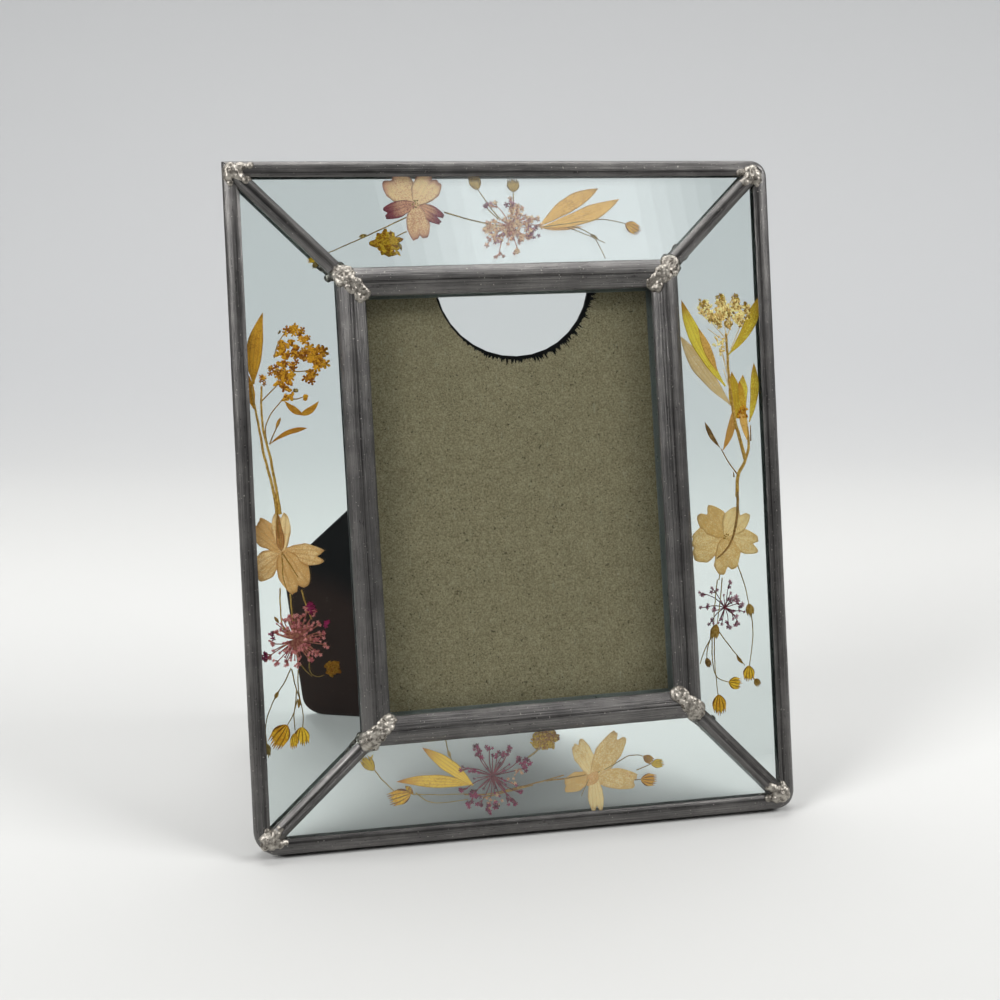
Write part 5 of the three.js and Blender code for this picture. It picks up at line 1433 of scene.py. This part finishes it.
p.done("bottom", "petal_yellow", "bottom_leaf_sprig")

# %% Pressed magenta umbel
p = Pressing("pressed_magenta_umbel", 59)
p.stalks([[(-20.4, 13.0), (-14, 12.4), (-6, 13.4), (2, 14.8), (9.4, 16.2)],
          [(-15, 11.4), (-8, 12.6), (0, 14.0)], [(4, 15.0), (10.2, 15.2), (16, 15.8)]],
         "straw", 0.26, -0.15)
p.umbel((-12, 18), [(-16.7, 27.7), (-12.7, 27.1), (-6.8, 26), (-3.6, 22.2), (-1.6, 19.6), (-20.8, 21.1),
        (-20.7, 14.3), (-17.8, 13.5), (-19, 10.2), (-15.8, 9.6), (-13.4, 7.3), (-7.4, 9.8),
        (-3.9, 11.9), (-5.2, 9.4), (-8.6, 24.2), (-15.6, 24.4), (-18.0, 20.2), (-10.6, 24.0)],
        "magenta", "wine_ray", 0.9, 4, 22, 0.14)
p.tufts("blush", (-5.0, 17.4, 12, 2.6, 0.5), (-11.8, 10.2, 12, 2.6, 0.5), layer=0.1)
p.tufts("magenta", (-16.9, 26.4, 5, 1.6, 0.85), (-12.6, 9.0, 6, 1.9, 0.9), (-2.2, 20.4, 6, 1.9, 0.9),
        (-17.2, 11.6, 5, 1.7, 0.85), layer=0.2)
p.done("bottom", "petal_purple", "bottom_magenta_umbel")

# %% Pressed round head
p = Pressing("pressed_round_head", 61)
p.stalks([[(-2.2, 22.1), (0.2, 23.6), (2.2, 25.4)]], "stem", 0.24, 0.0, 1.3)
p.button((3.8, 27.6), 3.9, 2.9, "button", 60, 0.6)
p.done("bottom", "petal_yellow", "bottom_yellow_head")

# %% Pressed clear flower
p = Pressing("pressed_clear_flower", 67)
middle = (18.4, 15.4)
p.petal(middle, (11.6, 24.4), (15.6, 27.2), "cream", -0.04, 0.1, 0.3)
p.petal(middle, (23.4, 28.6), (28.8, 25.0), "cream", 0.05, 0.12, 0.26)
p.petal(middle, (31.8, 15.4), (30.6, 9.8), "cream", -0.12, 0.05, 0.34)
p.petal(middle, (21.4, 4.6), (17.4, 4.6), "cream", 0.12, 0.14, 0.3)
p.petal(middle, (10.0, 10.4), (9.6, 15.4), "cream", -0.17, 0.05, 0.3)
p.leaf((16.4, 12.4), (19.6, 16.6), 3.4, "tan", 0.5, 0.0, 0.2)
p.stalks([[(16.8, 14.4), (15.4, 11.2), (14.6, 9.4)]], "stem", 0.14, 0.2)
p.tufts("tan", (18.0, 14.6, 9, 1.3, 0.36), shape="grain", layer=0.27)
p.tufts("tan", (29.6, 15.0, 5, 1.0, 0.4), shape="grain", layer=0.1)
p.done("bottom", "petal_cream", "bottom_cream_flower")

# %% Pressed seed cups
p = Pressing("pressed_seed_cups", 71)
p.stalks([[(19.4, 16.2), (24.6, 18.2), (28.6, 20.4), (31.6, 20.6), (34.0, 19.9)],
          [(31.6, 16.0), (34.4, 16.8), (36.4, 17.6)], [(31.0, 12.9), (32.2, 12.9), (33.2, 12.9)]],
         "stem", 0.18)
p.cup((33.8, 20.0), (36.4, 18.2), 2.7, "button", 0.04, 4)
p.cup((36.2, 17.4), (39.6, 17.4), 3.0, "button", 0.0, 5)
p.cup((33.0, 12.9), (37.2, 12.3), 4.3, "yellow", 0.06, 6)
p.done("bottom", "petal_yellow", "bottom_bud_pair")

# %% Clear away the floret shapes
for shape in SHAPES.values():
    bpy.data.objects.remove(shape)
print("specimens done, floret shapes removed")

# %% [markdown]
# ## Studio
# A pale sheet sweeps from the table up behind the frame. A wide soft light overhead makes the
# table brighter than the wall, and two large ones at the sides fill the shadows. The sheet's colour
# also carries painted light and shade: a little paler across the middle of the table, darker up
# the wall. High in front hang six weak cards, one behind the other and each a little larger, so
# that the top pane mirrors one bright patch with soft sides.

# %% Floor and wall
profile = [(-1.6, 0.0), (0.2, 0.0), (0.40, 0.0)]
profile += [(0.40 + 0.36 * math.sin(a), 0.36 - 0.36 * math.cos(a))
            for a in np.linspace(0.05, math.pi / 2, 24)]
profile += [(0.76, 2.2)]
sheet = mesh_object("floor", [(x, y, z) for y, z in profile for x in (-2.2, 2.2)],
                    faces=[(2 * i, 2 * i + 1, 2 * i + 3, 2 * i + 2) for i in range(len(profile) - 1)])
sheet.rotation_euler.z = -swing
for face in sheet.data.polygons:
    face.use_smooth = True
pale, shader, place = new_finish("pale_sheet", Specular_IOR_Level=0.1)
depth = place.parts()[1]
# Painted light and shade: the sheet's colour changes with depth to even out how the lamps fall, a little
# paler across the middle of the table, darker further back and darkest up the wall.
tone = depth.ramp(-0.12, 0.05).blend(rgb(200, 200, 198), rgb(209, 209, 207))
tone = depth.ramp(0.05, 0.3).blend(tone, rgb(201, 201, 199))
tone = depth.ramp(0.2, 0.6).blend(tone, rgb(179, 180, 181))
tone = (place.noise(3, 2.0) * 0.06).blend(tone, rgb(200, 200, 198))
wire_up(shader, Base_Color=tone, Roughness=place.noise(40) * 0.1 + 0.85)
sheet.data.materials.append(pale)
print("sheet", len(sheet.data.polygons), "faces")

# %% Lights


def soft_light(name, where, aim, size, watts):
    """A rectangular lamp of a size, turned to face a place."""
    lamp = bpy.data.objects.new(name, bpy.data.lights.new(name, "AREA"))
    bpy.context.collection.objects.link(lamp)
    lamp.data.shape, lamp.data.size, lamp.data.size_y = "RECTANGLE", *size
    lamp.data.energy = watts
    lamp.location = where
    lamp.rotation_euler = (Vector(aim) - Vector(where)).to_track_quat("-Z", "Y").to_euler()


soft_light("overhead", (0.0, 0.4, 1.36), (0, 0.15, 0), (1.2, 0.7), 13.2)
soft_light("side_fill", (1.1, -0.5, 0.95), (0, 0, 0.1), (0.6, 0.6), 14.4)
soft_light("far_fill", (-1.1, -0.5, 0.95), (0, 0, 0.1), (0.6, 0.6), 16)
for step in range(6):
    wide, high = 0.24 + 0.045 * step, 0.45 + 0.01 * step
    soft_light("glow_" + str(step + 1), (0.31, -0.911 - 0.004 * step, 1.215 + 0.004 * step),
               (0.02, 0, 0.17), (wide, high), 0.82 * wide * high)

# %% Room
world = bpy.data.worlds.new("room")
bpy.context.scene.world = world
world.use_nodes = True
world.node_tree.nodes["Background"].inputs["Color"].default_value = (0.95, 0.97, 1.0, 1)
world.node_tree.nodes["Background"].inputs["Strength"].default_value = 0.045
bpy.context.scene.view_settings.view_transform = "Standard"
print("studio set")

# %% [markdown]
